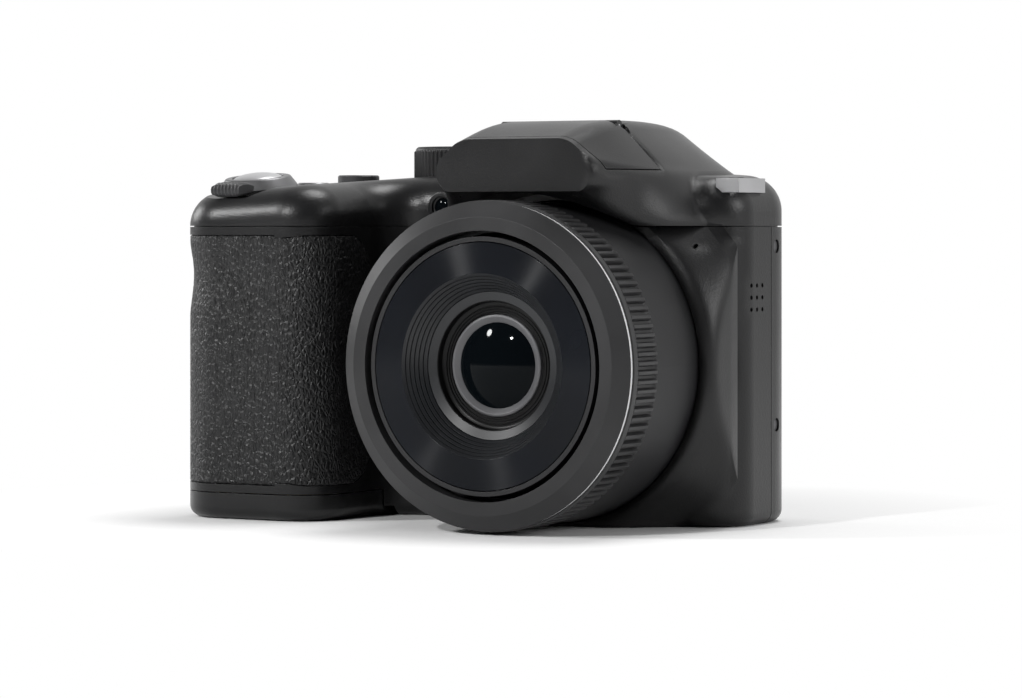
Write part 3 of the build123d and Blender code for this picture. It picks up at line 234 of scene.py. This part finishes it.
black = moulded("body_black", BODY_COLOUR, BODY_ROUGHNESS, specular=0.4, **TEXTURED)
front_black = blended("front_black", specular=0.36, wide=0.0045,
                      limits=(("X", 0.034, 0.042), ("Y", -0.0005, -0.0028), ("Z", 0.0568, 0.054)))
top_black = blended("top_black", specular=0.4, wide=0.0035,
                    limits=(("X", 0.046, 0.05), ("Y", -0.002, -0.006), ("Z", 0.0578, 0.0605)))
ring_black = moulded("ring_black", (0.022, 0.022, 0.023), 0.42, grain=2200.0, specular=0.35)
sleeve_black = moulded("sleeve_black", (0.012, 0.012, 0.013), 0.45, grain=2600.0, specular=0.3)
leather = creased("grip_leather", BODY_COLOUR, 0.43)
key_grey = moulded("key_grey", (0.04, 0.04, 0.042), 0.4, grain=2400.0)
silver = moulded("silver_trim", (0.62, 0.62, 0.63), 0.3, metallic=0.9, spread=0.06, **SATIN)
# The thin trim ring at the lens collar is coloured near white, brighter than the silver trim: a real ring
# carrying a painted highlight, standing in for the bright line where light catches the collar's lip.
trim_with_painted_highlight = moulded("trim_with_painted_highlight", (0.85, 0.85, 0.86), 0.3, metallic=0.2, spread=0.05, **SATIN)
face_navy = turned_gloss("face_navy", (0.0025, 0.0035, 0.006), 0.25, stretch=1.0, specular=0.2)
lens_black = moulded("lens_black", (0.006, 0.006, 0.007), 0.4, grain=2600.0)
well_black = moulded("well_black", (0.003, 0.003, 0.0032), 0.35, depth=0.00001, specular=0.2, edge=0.00004)
retainer_grey = moulded("retainer_grey", (0.10, 0.10, 0.105), 0.42, grain=2600.0)
steel = moulded("plated_steel", (0.55, 0.55, 0.56), 0.32, metallic=1.0, spread=0.1, **SMOOTH)
dark_steel = moulded("dark_steel", (0.12, 0.12, 0.125), 0.4, metallic=0.8, spread=0.1, **SMOOTH)
acetal = moulded("acetal", (0.75, 0.74, 0.69), 0.45)
inner = moulded("inner_plastic", (0.05, 0.05, 0.053), 0.5)
board = moulded("circuit_board", (0.01, 0.11, 0.05), 0.35, grain=500.0)
housing = moulded("housings", (0.09, 0.1, 0.11), 0.4)
jacket = moulded("cell_jacket", (0.45, 0.33, 0.08), 0.35, metallic=0.6)
mirror_metal = moulded("reflector", (0.9, 0.9, 0.9), 0.12, metallic=1.0, spread=0.04, depth=0.00001)
print_white = moulded("print_white", (0.75, 0.75, 0.75), 0.6, spread=0.06)
signal_red = moulded("signal_red", (0.45, 0.02, 0.02), 0.5, spread=0.06)
satin_grey = moulded("satin_grey", (0.2, 0.2, 0.205), 0.36, metallic=0.85, spread=0.06, **SATIN)
cell_black = moulded("cell_black", (0.012, 0.013, 0.015), 0.38, specular=0.45, edge=0.00005, **SMOOTH)
coated_glass = glassy("coated_glass", (0.002, 0.003, 0.004), 0.03, coat=0.05, coat_colour=(0.6, 0.95, 0.9),
                      specular=0.04)
inner_glass = glassy("inner_glass", (0.01, 0.02, 0.03), 0.04, coat=1.0, coat_colour=(0.5, 1.0, 0.85))
clear = glassy("clear_plastic", (0.8, 0.82, 0.84), 0.08, coat=0.4, coat_colour=(1, 1, 1), transmission=0.8)
screen = glassy("screen_cover", (0.008, 0.008, 0.01), 0.05, coat=0.5, coat_colour=(1, 1, 1))
panel_dark = moulded("screen_panel", (0.02, 0.021, 0.024), 0.3, grain=5000.0, depth=0.000004)

finishes = {
    front_black: ["front_cover"],
    top_black: ["top_cover"],
    black: ["rear_cover", "battery_door", "flash_lid", "door_lock", "port_cover"],
    sleeve_black: ["fixed_barrel"],
    leather: ["grip_skin", "thumb_rest"],
    ring_black: ["name_ring", "ribbed_ring", "mode_dial"],
    key_grey: ["video_button", "playback_button", "menu_button", "delete_button", "control_pad",
               "set_button"],
    silver: ["zoom_lever", "shutter_button", "power_button", "burst_button"],
    # The silver ring's near-white colour is a painted highlight along the collar's lip
    trim_with_painted_highlight: ["silver_ring"],
    retainer_grey: ["retaining_ring"],
    face_navy: ["face_ring"],
    lens_black: ["front_cell", "stage_1_barrel", "stage_2_barrel", "cam_ring"],
    coated_glass: ["front_element", "af_lamp"],
    inner_glass: ["relay_element", "rear_element"],
    clear: ["flash_window", "flash_tube"],
    screen: ["lcd_window"],
    dark_steel: ["case_screws"],
    steel: ["door_pin", "flash_pin", "tripod_bush", "contact_plates", "door_contacts", "zoom_motor",
            "strap_lugs"],
    acetal: ["idler_gear", "motor_pinion"],
    inner: ["lens_base", "battery_chamber", "card_slot"],
    mirror_metal: ["flash_reflector"],
    board: ["main_board"],
    housing: ["image_sensor", "lcd_module", "flash_capacitor", "speaker", "microphone", "usb_socket",
              "memory_card"],
    jacket: ["aa_cells"],
}

for material, names in finishes.items():
    for name in names:
        surface = nodes[name].data.materials
        surface.clear()
        surface.append(material)


# Meshes

def add_piece(name, shape, material, body, replaced=(), smooth_angle=35.0):
    """A new piece from points in millimetres and faces, riding on a body."""
    vertices, faces = shape
    mesh = bpy.data.meshes.new(name)
    mesh.from_pydata([Vector(point) * MM for point in vertices], [], faces)
    mesh.validate()
    tools = bmesh.new()
    tools.from_mesh(mesh)
    bmesh.ops.remove_doubles(tools, verts=tools.verts, dist=MM / 10000)
    bmesh.ops.recalc_face_normals(tools, faces=tools.faces)
    tools.to_mesh(mesh)
    tools.free()
    mesh.materials.append(material)
    piece = bpy.data.objects.new(name, mesh)
    bpy.context.scene.collection.objects.link(piece)
    mesh.shade_smooth()
    mesh.set_sharp_from_angle(angle=math.radians(smooth_angle))
    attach(piece, body)
    if replaced:
        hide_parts(*replaced)


def skin(loops, closed=False):
    """Points and faces between loops of points; an open row of loops is capped at both ends."""
    count = len(loops[0])
    vertices = [point for loop in loops for point in loop]
    faces = []
    for step in range(len(loops) if closed else len(loops) - 1):
        here, there = step * count, (step + 1) % len(loops) * count
        for index in range(count):
            after = (index + 1) % count
            faces.append((here + index, here + after, there + after, there + index))
    if not closed:
        faces += [tuple(range(count)), tuple(range(len(vertices) - count, len(vertices)))]
    return vertices, faces


def turned(profile, segments, place):
    """A closed profile of (radius, distance along) corners turned about the axis of a place function."""
    loops = []
    for step in range(segments):
        angle = TURN * step / segments
        loops.append([place(radius * math.cos(angle), radius * math.sin(angle), along)
                      for radius, along in profile])
    return skin(loops, closed=True)


def round_corner(corner, before, after, radius, steps=5):
    """A corner of a profile rounded towards its neighbours."""
    corner, before, after = (Vector(point) for point in (corner, before, after))
    start = corner + (before - corner).normalized() * radius
    end = corner + (after - corner).normalized() * radius
    points = []
    for step in range(steps + 1):
        part = step / steps
        points.append(tuple(start.lerp(corner, part).lerp(corner.lerp(end, part), part)))
    return points


def rounded(corners):
    """A closed profile from corners that carry the radius of their rounding as a third value."""
    profile = [corner[:2] for corner in corners]
    points = []
    for index, (across, along, radius) in enumerate(corners):
        if radius:
            after = profile[(index + 1) % len(profile)]
            points += round_corner((across, along), profile[index - 1], after, radius)
        else:
            points.append((across, along))
    return points


# Lens front, with distances behind its front edge

glass_radius, well_floor = 8.2, 7.5
face_inner, cell_outer, cell_shoulder, cell_rear = 17.6, 22.5, 5.8, 20.0


def on_lens(across, up, back):
    """A point of the lens from the middle of its front."""
    return lens_x + across, lens_front + back, lens_z + up


def lens_piece(name, profile, material, replaced=()):
    """A piece turned about the lens axis, which rides with the front of the lens."""
    add_piece(name, turned(profile, 256, on_lens), material, "stage_2", replaced)


def cell_profile(steps=6, width=0.583, fall=0.683, groove=0.2):
    """The bore in front of the glass: shallow steps parted by fine grooves, then a wide band."""
    points = []
    for number in range(steps):
        radius, back = face_inner - number * width, 0.3 + number * fall
        ledge = back + 0.74 * fall
        points += [(radius, back), (radius - 0.8 * width, ledge)]
        points += [(radius - 0.75 * width, ledge + groove), (radius - 0.95 * width, back + fall + groove)]
    points += [(14.1, 4.4), (12.45, 4.95), (12.45, well_floor), (glass_radius, well_floor)]
    points += [(glass_radius, cell_rear), (face_inner, cell_rear), (face_inner, cell_shoulder)]
    return points + [(cell_outer, cell_shoulder), (cell_outer, 1.9), (face_inner + 0.1, 1.7)]


def well_profile(steps=3, width=0.55, groove=0.2):
    """The dark well round the glass, with fine steps in its floor."""
    points = [(12.46, well_floor), (12.46, 5.05), (12.3, 5.05), (12.05, 6.1), (12.35, 6.35), (11.9, 6.6)]
    for number in range(steps):
        radius, back = 11.7 - number * width, 6.7
        points += [(radius, back), (radius - 0.3, back)]
        points += [(radius - 0.35, back + groove), (radius - 0.5, back + groove)]
    return points + [(9.9, 6.85), (9.8, well_floor)]


def dome_profile(radius, front, rise, depth, steps=14, least=0.001):
    """Half the section of a lens element: a bulging front face, a straight edge and a flat back."""
    points = []
    for step in range(steps + 1):
        part = step / steps
        points.append((max(radius * part, least), front + rise * part * part))
    return points + [(radius, front + depth), (least, front + depth)]


lens_piece("well", well_profile(), well_black)
lens_piece("cell", cell_profile(), cell_black, ["front_cell"])
lens_piece("retainer", rounded([(9.75, 6.1, 0.15), (9.75, well_floor, 0), (glass_radius, well_floor, 0),
                                (glass_radius, 6.7, 0.1), (9.3, 5.92, 0.15)]),
           retainer_grey, ["retaining_ring"])
lens_piece("front_glass", dome_profile(glass_radius, front=4.7, rise=2.0, depth=3.6), coated_glass,
           ["front_element"])
lens_piece("second_glass", dome_profile(6.6, front=9.2, rise=1.4, depth=2.6), inner_glass)
lens_piece("iris", [(8.0, 8.9), (8.0, 9.1), (4.2, 9.4), (4.2, 9.2)], lens_black)
lens_piece("rim", rounded([(23.47, 0.5, 0.06), (23.47, 1.15, 0), (23.3, 1.15, 0), (23.3, 0.5, 0.06)]),
           retainer_grey)


def rim_mark(half=0.4, low=22.1, high=23.3, top=0.5, foot=0.75, chamfer=0.12):
    """The small raised mark at the foot of the face ring."""
    loops = []
    for across, shrink in ((-half, chamfer), (-half + chamfer, 0), (half - chamfer, 0), (half, chamfer)):
        section = ((low + shrink, foot), (low + shrink, top + shrink), (high, top + shrink), (high, foot))
        loops.append([on_lens(across, -radius, back) for radius, back in section])
    add_piece("rim_mark", skin(loops), ring_black, "stage_2")


def ribbed_band(ribs=112, across=12, depth=0.95, tip=31.5, foot=29.6, front=2.8, rear=12.8):
    """The zoom ring's band: a plain collar in front, then a row of square ribs that slope at both ends."""
    loops = []
    for step in range(ribs * across):
        angle = TURN * step / (ribs * across)
        share = abs(step % across - across / 2) / (across / 2)
        sunk = depth * min(1.0, max(0.0, (share - 0.42) / 0.22))
        profile = [(foot, front), (tip - 0.15, front), (tip, 2.95), (tip, 4.4), (tip - 0.12, 4.6),
                   (tip - sunk * 0.6, 4.75), (tip - sunk, 5.1), (tip - sunk, 12.0),
                   (tip - 0.5 * sunk - 0.2, 12.65), (tip - 0.55, rear), (foot, rear)]
        loops.append([on_lens(radius * math.cos(angle), radius * math.sin(angle), back)
                      for radius, back in profile])
    add_piece("zoom_band", skin(loops, closed=True), ring_black, "camera_body",
              ["ribbed_ring"], smooth_angle=30)


rim_mark()
ribbed_band()

# Mode dial

dial_low, dial_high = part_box("mode_dial")
dial_centre = (dial_low.x + dial_high.x) / 2 / MM, (dial_low.y + dial_high.y) / 2 / MM
dial_radius = (dial_high.x - dial_low.x) / 2 / MM
dial_foot, dial_top = dial_low.z / MM, dial_high.z / MM
dial_dish = 0.12


def knurled_dial(teeth=64, depth=0.34, across=8):
    """A dial with rounded teeth round its wall, a plain band below and a chamfered rim above."""
    wall, foot, top = dial_radius, dial_foot, dial_top
    # Radius, height and share of the tooth's depth
    levels = [(wall - 0.5, foot, 0), (wall - 0.25, foot + 0.2, 0), (wall - 0.25, foot + 1.5, 0),
              (wall, foot + 1.8, 1), (wall, top - 1.0, 1), (wall - 0.3, top - 0.75, 0),
              (wall - 0.35, top - 0.45, 0), (wall - 0.8, top, 0), (wall - 1.3, top, 0),
              (wall - 1.4, top - dial_dish, 0), (AXIS, top - dial_dish, 0), (AXIS, foot, 0)]
    loops = []
    for step in range(teeth * across):
        angle = TURN * step / (teeth * across)
        tooth = depth * (0.5 - 0.5 * math.cos(TURN * step / across)) ** 0.7
        loop = []
        for radius, height, share in levels:
            reach = radius - share * tooth
            loop.append((dial_centre[0] + reach * math.cos(angle), dial_centre[1] + reach * math.sin(angle),
                         height))
        loops.append(loop)
    add_piece("dial", skin(loops, closed=True), ring_black, "mode_dial", ["mode_dial"],
              smooth_angle=30)


knurled_dial()


# Printed marks: flat shapes laid half into a face

MARK_THICKNESS = 0.05
# The strokes of a number between corners of a unit square, and the strokes that each number takes
STROKES = {"a": ((0, 1), (1, 1)), "b": ((1, 0.5), (1, 1)), "c": ((1, 0), (1, 0.5)), "d": ((0, 0), (1, 0)),
           "e": ((0, 0), (0, 0.5)), "f": ((0, 0.5), (0, 1)), "g": ((0, 0.5), (1, 0.5))}
DIGITS = {1: "bc", 2: "abged", 3: "abgcd", 4: "fgbc", 5: "afgcd", 6: "afgedc", 7: "abc", 8: "abcdefg"}


def bar(start, end, width):
    """A stroke with square ends, as four corners."""
    start, end = Vector(start), Vector(end)
    along = (end - start).normalized() * width / 2
    across = Vector((-along.y, along.x))
    return [start - along - across, end + along - across, end + along + across, start - along + across]


def digit_strokes(number, centre, turn, size=1.9, slimness=0.55, width=0.24):
    """The strokes of a number, turned about its centre."""
    spin = Matrix.Rotation(turn, 2)
    strokes = []
    for letter in DIGITS[number]:
        ends = [((x - 0.5) * size * slimness, (y - 0.5) * size) for x, y in STROKES[letter]]
        strokes.append([spin @ corner + Vector(centre) for corner in bar(*ends, width)])
    return strokes


def marks(name, origin, right, up, shapes, material, body):
    """Flat shapes laid on a face from its origin, along its right and up directions."""
    origin, right, up = Vector(origin), Vector(right), Vector(up)
    outward = right.cross(up)
    vertices, faces = [], []
    for shape in shapes:
        first, count = len(vertices), len(shape)
        for height in (-MARK_THICKNESS / 2, MARK_THICKNESS / 2):
            vertices += [origin + right * corner[0] + up * corner[1] + outward * height for corner in shape]
        faces.append(tuple(first + index for index in range(count)))
        faces.append(tuple(first + count + index for index in range(count)))
        for index in range(count):
            after = (index + 1) % count
            faces.append((first + index, first + after, first + count + after, first + count + index))
    add_piece(name, (vertices, faces), material, body)


number_circle = 0.66 * dial_radius
dial_numbers = []
for number in DIGITS:
    angle = TURN * number / len(DIGITS)
    centre = (number_circle * math.cos(angle), number_circle * math.sin(angle))
    dial_numbers += digit_strokes(number, centre, angle - TURN / 4)
marks("dial_numbers", (*dial_centre, dial_top - dial_dish), (1, 0, 0), (0, 1, 0), dial_numbers, print_white,
      "mode_dial")


# Zoom lever and shutter button, about an axis that leans forwards

lean = math.radians(7.5)
trigger_centre = Vector((-34.6, -23.0, 66.4))
trigger_up = Vector((0, -math.sin(lean), math.cos(lean)))
trigger_back = Vector((0, math.cos(lean), math.sin(lean)))


def on_trigger(across, back, height):
    """A point of the lever or the button from its leaning axes."""
    return trigger_centre + Vector((across, 0, 0)) + trigger_back * back + trigger_up * height


def trigger_piece(name, profile, material, node):
    """A piece turned about the leaning axis, in the place of a node and on its body."""
    add_piece(name, turned(profile, 144, on_trigger), material, node, [node])


def lever_tab(ridges=8, across=10, half=3.35, depth=0.34, root=-6.4):
    """The lever's finger tab: thick and rounded in front, with ridges from front to back."""
    loops = []
    count = ridges * across
    for step in range(count + 1):
        place = -half + 2 * half * step / count
        ridge = depth * (0.5 - 0.5 * math.cos(TURN * step / across)) ** 0.8
        fall = 0.5 * (abs(place) / half) ** 6
        loop = [(root, -0.5 + fall), (-11.3, -0.55 + fall), (-11.9 + ridge, -0.2 + fall / 2),
                (-12.2 + ridge, 0.5), (-12.15 + ridge, 1.2), (-11.85 + ridge, 1.85 - fall / 2),
                (-11.3, 2.25 - ridge - fall), (-10.4, 2.35 - ridge - fall), (-8.6, 2.2 - ridge - fall),
                (-7.0, 1.75 - ridge / 2 - fall), (root, 1.4 - fall)]
        loops.append([on_trigger(place, back, height) for back, height in loop])
    add_piece("lever_tab", skin(loops), key_grey, "zoom_lever", smooth_angle=45)


def shutter_profile(radius=5.15, base=1.55, rise=1.45, steps=12, foot=-4.3):
    """The shutter button's section: a dome over a straight wall, with a stem below."""
    points = [(AXIS, base + rise)]
    for step in range(1, steps + 1):
        angle = step / steps * TURN / 4
        points.append((radius * math.sin(angle), base + rise * math.cos(angle)))
    return points + [(radius, -1.6), (4.9, -1.8), (2.5, -1.8), (2.5, foot), (AXIS, foot)]


trigger_piece("lever_ring", rounded([(5.3, 2.2, 0.15), (6.55, 2.2, 0.35), (7.95, 0.2, 0.03), (7.95, 0.1, 0),
                                     (6.2, 0.1, 0), (6.2, -3.9, 0), (5.3, -3.9, 0)]),
              satin_grey, "zoom_lever")
lever_tab()
trigger_piece("shutter", shutter_profile(), silver, "shutter_button")


# Small round buttons and the focus lamp

def domed_button(name, node, material, dish, sunk=0.0, chamfer=0.25, lip=0.02, steps=8):
    """An upright round button with a chamfered edge and a dished top, in the place of a node."""
    low, high = (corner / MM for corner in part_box(node))
    centre, radius = ((low.x + high.x) / 2, (low.y + high.y) / 2), (high.x - low.x) / 2
    high.z -= sunk
    top = high.z
    profile = [(radius, low.z), (radius, top - chamfer), (radius - chamfer, top)]
    for step in range(steps, 0, -1):
        part = step / steps
        profile.append(((radius - chamfer) * part * 0.98, top - lip - dish * (1 - part * part)))
    profile += [(AXIS, top - lip - dish), (AXIS, low.z)]

    def on_button(across, back, height):
        return centre[0] + across, centre[1] + back, height

    add_piece(name, turned(profile, 96, on_button), material, node, [node])


domed_button("power_key", "power_button", key_grey, dish=0.25, sunk=0.7)
domed_button("burst_key", "burst_button", satin_grey, dish=0.1)

lamp_low, lamp_high = (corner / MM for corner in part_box("af_lamp"))
lamp_centre = (lamp_low.x + lamp_high.x) / 2, (lamp_low.z + lamp_high.z) / 2


def on_lamp(across, up, back):
    """A point of the focus lamp from the middle of its front."""
    return lamp_centre[0] + across, lamp_low.y + back, lamp_centre[1] + up


def lamp_piece(name, profile, material, replaced=()):
    """A piece turned about the focus lamp's axis."""
    add_piece(name, turned(profile, 72, on_lamp), material, "camera_body", replaced)


lamp_piece("lamp_bezel", rounded([(3.0, 0.1, 0.12), (3.0, 3.5, 0), (1.8, 3.5, 0), (1.8, 0.8, 0.05),
                                  (2.1, 0.7, 0), (2.1, 0.0, 0.1)]), black, ["af_lamp"])
lamp_piece("lamp_lens", dome_profile(1.8, front=0.35, rise=0.5, depth=1.4), coated_glass)


# Leather of the grip and the thumb rest

# A noise vector is drawn from the module's seed, which would otherwise be the time of the run
noise.seed_set(1)


def leather_height(point):
    """How far the leather lies under its highest points, from 0 to 1, at a point in millimetres."""
    warp = noise.noise_vector(point * 0.9) * 0.35
    place = Vector((point.x * 1.15, point.y * 1.15, point.z * 0.85)) + warp
    distances = noise.voronoi(place)[0]
    crease = min(1.0, (distances[1] - distances[0]) / 0.24)
    pores = 0.5 + 0.5 * noise.noise(point * 3.1)
    return (1 - crease * crease * (3 - 2 * crease)) * 0.8 + 0.2 * pores


def waist(point, middle=49.0, up=7.0, down=9.0, depth=0.75):
    """How far the grip is drawn in round its outer side, where the middle finger rests."""
    around_side = min(1.0, max(0.0, (-14.0 - point.x) / 26.0))
    above = point.z - middle
    reach = up if above > 0 else down
    share = max(0.0, 1 - (above / reach) ** 2)
    return depth * share * share * around_side


def leather_piece(name, node, voxel, core, shape=None, depth=0.1):
    """A fine mesh over a rubber part, creased like leather on the faces turned away from its core."""
    source = nodes[node]
    copy = bpy.data.objects.new(name + "_source", source.data.copy())
    bpy.context.scene.collection.objects.link(copy)
    copy.matrix_world = source.matrix_world
    remesh = copy.modifiers.new("fine", "REMESH")
    remesh.mode = "VOXEL"
    remesh.voxel_size = voxel * MM
    finished = copy.evaluated_get(bpy.context.evaluated_depsgraph_get())
    mesh = bpy.data.meshes.new_from_object(finished)
    mesh.transform(copy.matrix_world)
    bpy.data.objects.remove(copy)
    low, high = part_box(node)
    vertices = []
    for vertex in mesh.vertices:
        point = vertex.co / MM
        outward = vertex.normal.x * (point.x - core[0]) + vertex.normal.y * (point.y - core[1])
        sunk = depth * leather_height(point) + (shape(point) if shape else 0) if outward > 0 else 0
        moved = point - vertex.normal * sunk
        vertices.append([min(max(moved[axis], low[axis] / MM), high[axis] / MM) for axis in range(3)])
    faces = [tuple(face.vertices) for face in mesh.polygons]
    bpy.data.meshes.remove(mesh)
    add_piece(name, (vertices, faces), leather, "camera_body", [node], smooth_angle=180)


leather_piece("grip_leather", "grip_skin", voxel=0.36, core=(-29, -14), shape=waist)
leather_piece("thumb_leather", "thumb_rest", voxel=0.3, core=(-32, 12))


# Rear: key symbols, pad arrows, and the panel under the screen's window

def disc(radius, count=24):
    """A round shape."""
    return [(radius * math.cos(TURN * step / count), radius * math.sin(TURN * step / count))
            for step in range(count)]


def rear_marks(name, node, shapes, material=print_white, body=None):
    """Marks in the middle of a node's rear face."""
    low, high = (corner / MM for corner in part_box(node))
    origin = (low.x + high.x) / 2, high.y, (low.z + high.z) / 2
    marks(name, origin, (-1, 0, 0), (0, 0, 1), shapes, material, body or node)


triangle = [(-0.8, -1.0), (1.1, 0.0), (-0.8, 1.0)]
rear_marks("playback_mark", "playback_button", [triangle])
rear_marks("menu_mark", "menu_button", [bar((-1.0, height), (1.0, height), 0.3)
                                        for height in (-0.8, 0.0, 0.8)])
rear_marks("delete_mark", "delete_button", [bar((-0.9, -0.9), (0.9, 0.9), 0.32),
                                            bar((-0.9, 0.9), (-0.1, 0.1), 0.32),
                                            bar((0.1, -0.1), (0.9, -0.9), 0.32)])
rear_marks("video_mark", "video_button", [disc(1.0)], signal_red)
arrows = []
for quarter in range(4):
    spin = Matrix.Rotation(TURN * quarter / 4, 2)
    arrows.append([spin @ Vector(corner) for corner in ((7.0, -0.9), (8.1, 0.0), (7.0, 0.9))])
rear_marks("pad_marks", "control_pad", arrows)
display = [(-27.6, -20.7), (27.6, -20.7), (27.6, 20.7), (-27.6, 20.7)]
rear_marks("display", "lcd_window", [display], panel_dark, "camera_body")


# Scene: camera, light, floor

def add_camera():
    """The photograph's viewpoint: level, thirty degrees round to the user's left."""
    camera = bpy.data.cameras.new("camera")
    holder = bpy.data.objects.new("camera", camera)
    bpy.context.scene.collection.objects.link(holder)
    holder.location = (0.3959, -0.6661, 0.0585)
    towards = Vector((-0.5, math.sqrt(0.75), 0))
    holder.rotation_euler = towards.to_track_quat("-Z", "Y").to_euler()
    camera.sensor_width = 36.0
    camera.lens = 133.9
    camera.shift_y = -0.12
    camera.clip_start = 0.01
    bpy.context.scene.camera = holder


def add_world():
    """A studio that is white to the camera, and to all else white behind the object and dim before it."""
    world = bpy.data.worlds.new("studio")
    bpy.context.scene.world = world
    world.use_nodes = True
    tree = world.node_tree
    background = tree.nodes["Background"]
    background.inputs["Color"].default_value = (1, 1, 1, 1)
    direction = tree.nodes.new("ShaderNodeTexCoord")
    axes = tree.nodes.new("ShaderNodeSeparateXYZ")
    tree.links.new(direction.outputs["Generated"], axes.inputs["Vector"])
    surroundings = remap(tree, axes.outputs["Y"], 0.08, 0.8, -0.3, 0.75)
    path = tree.nodes.new("ShaderNodeLightPath")
    strength = tree.nodes.new("ShaderNodeMix")
    tree.links.new(path.outputs["Is Camera Ray"], strength.inputs["Factor"])
    tree.links.new(surroundings, strength.inputs["A"])
    strength.inputs["B"].default_value = 1.0
    tree.links.new(strength.outputs["Result"], background.inputs["Strength"])


def add_floor(size=6.0, below=0.00005, fade_start=0.07, fade_end=0.12):
    """A plain white floor under the camera, which fades into the white background further off."""
    mesh = bpy.data.meshes.new("floor")
    corners = [(-size, -size), (size, -size), (size, size), (-size, size)]
    mesh.from_pydata([(x, y, -below) for x, y in corners], [], [(0, 1, 2, 3)])
    floor = bpy.data.objects.new("floor", mesh)
    bpy.context.scene.collection.objects.link(floor)
    material, tree, shader = new_material("floor_white")
    shader.inputs["Base Color"].default_value = (0.9, 0.9, 0.9, 1)
    shader.inputs["Roughness"].default_value = 0.9
    shader.inputs["Specular IOR Level"].default_value = 0.1
    white = tree.nodes.new("ShaderNodeEmission")
    distance = tree.nodes.new("ShaderNodeVectorMath")
    distance.operation = "LENGTH"
    tree.links.new(coordinates(tree), distance.inputs[0])
    fade = remap(tree, distance.outputs["Value"], 0, 1, fade_start, fade_end)
    path = tree.nodes.new("ShaderNodeLightPath")
    seen = combine(tree, "MAXIMUM", path.outputs["Is Camera Ray"], path.outputs["Is Transmission Ray"])
    mix = tree.nodes.new("ShaderNodeMixShader")
    tree.links.new(combine(tree, "MULTIPLY", fade, seen), mix.inputs["Fac"])
    tree.links.new(shader.outputs["BSDF"], mix.inputs[1])
    tree.links.new(white.outputs["Emission"], mix.inputs[2])
    tree.links.new(mix.outputs["Shader"], tree.nodes["Material Output"].inputs["Surface"])
    mesh.materials.append(material)


middle = Vector((0.01, -0.01, 0.045))


def add_lamp(name, direction, distance, width, height, power):
    """An oval soft lamp in a direction from the middle of the object, aimed at it."""
    light = bpy.data.lights.new(name, "AREA")
    light.shape = "ELLIPSE"
    light.size, light.size_y, light.energy = width, height, power
    holder = bpy.data.objects.new(name, light)
    bpy.context.scene.collection.objects.link(holder)
    place = middle + Vector(direction).normalized() * distance
    holder.location = place
    holder.rotation_euler = (middle - place).to_track_quat("-Z", "Y").to_euler()


add_camera()
add_world()
add_floor()
add_lamp("streak", (-0.12, -0.86, 0.49), distance=1.0, width=0.035, height=0.035, power=4.0)
add_lamp("key", (-0.6, -0.62, 0.5), distance=0.9, width=0.1, height=0.1, power=3.4)
add_lamp("side", (0.95, 0.1, 0.35), distance=1.1, width=0.5, height=0.5, power=3.0)
add_lamp("top", (0.1, 0.3, 0.95), distance=1.1, width=0.6, height=0.5, power=6.0)
add_lamp("left", (-0.97, 0.1, 0.3), distance=1.2, width=0.5, height=0.4, power=3.0)
bpy.context.scene.view_settings.view_transform = "Standard"
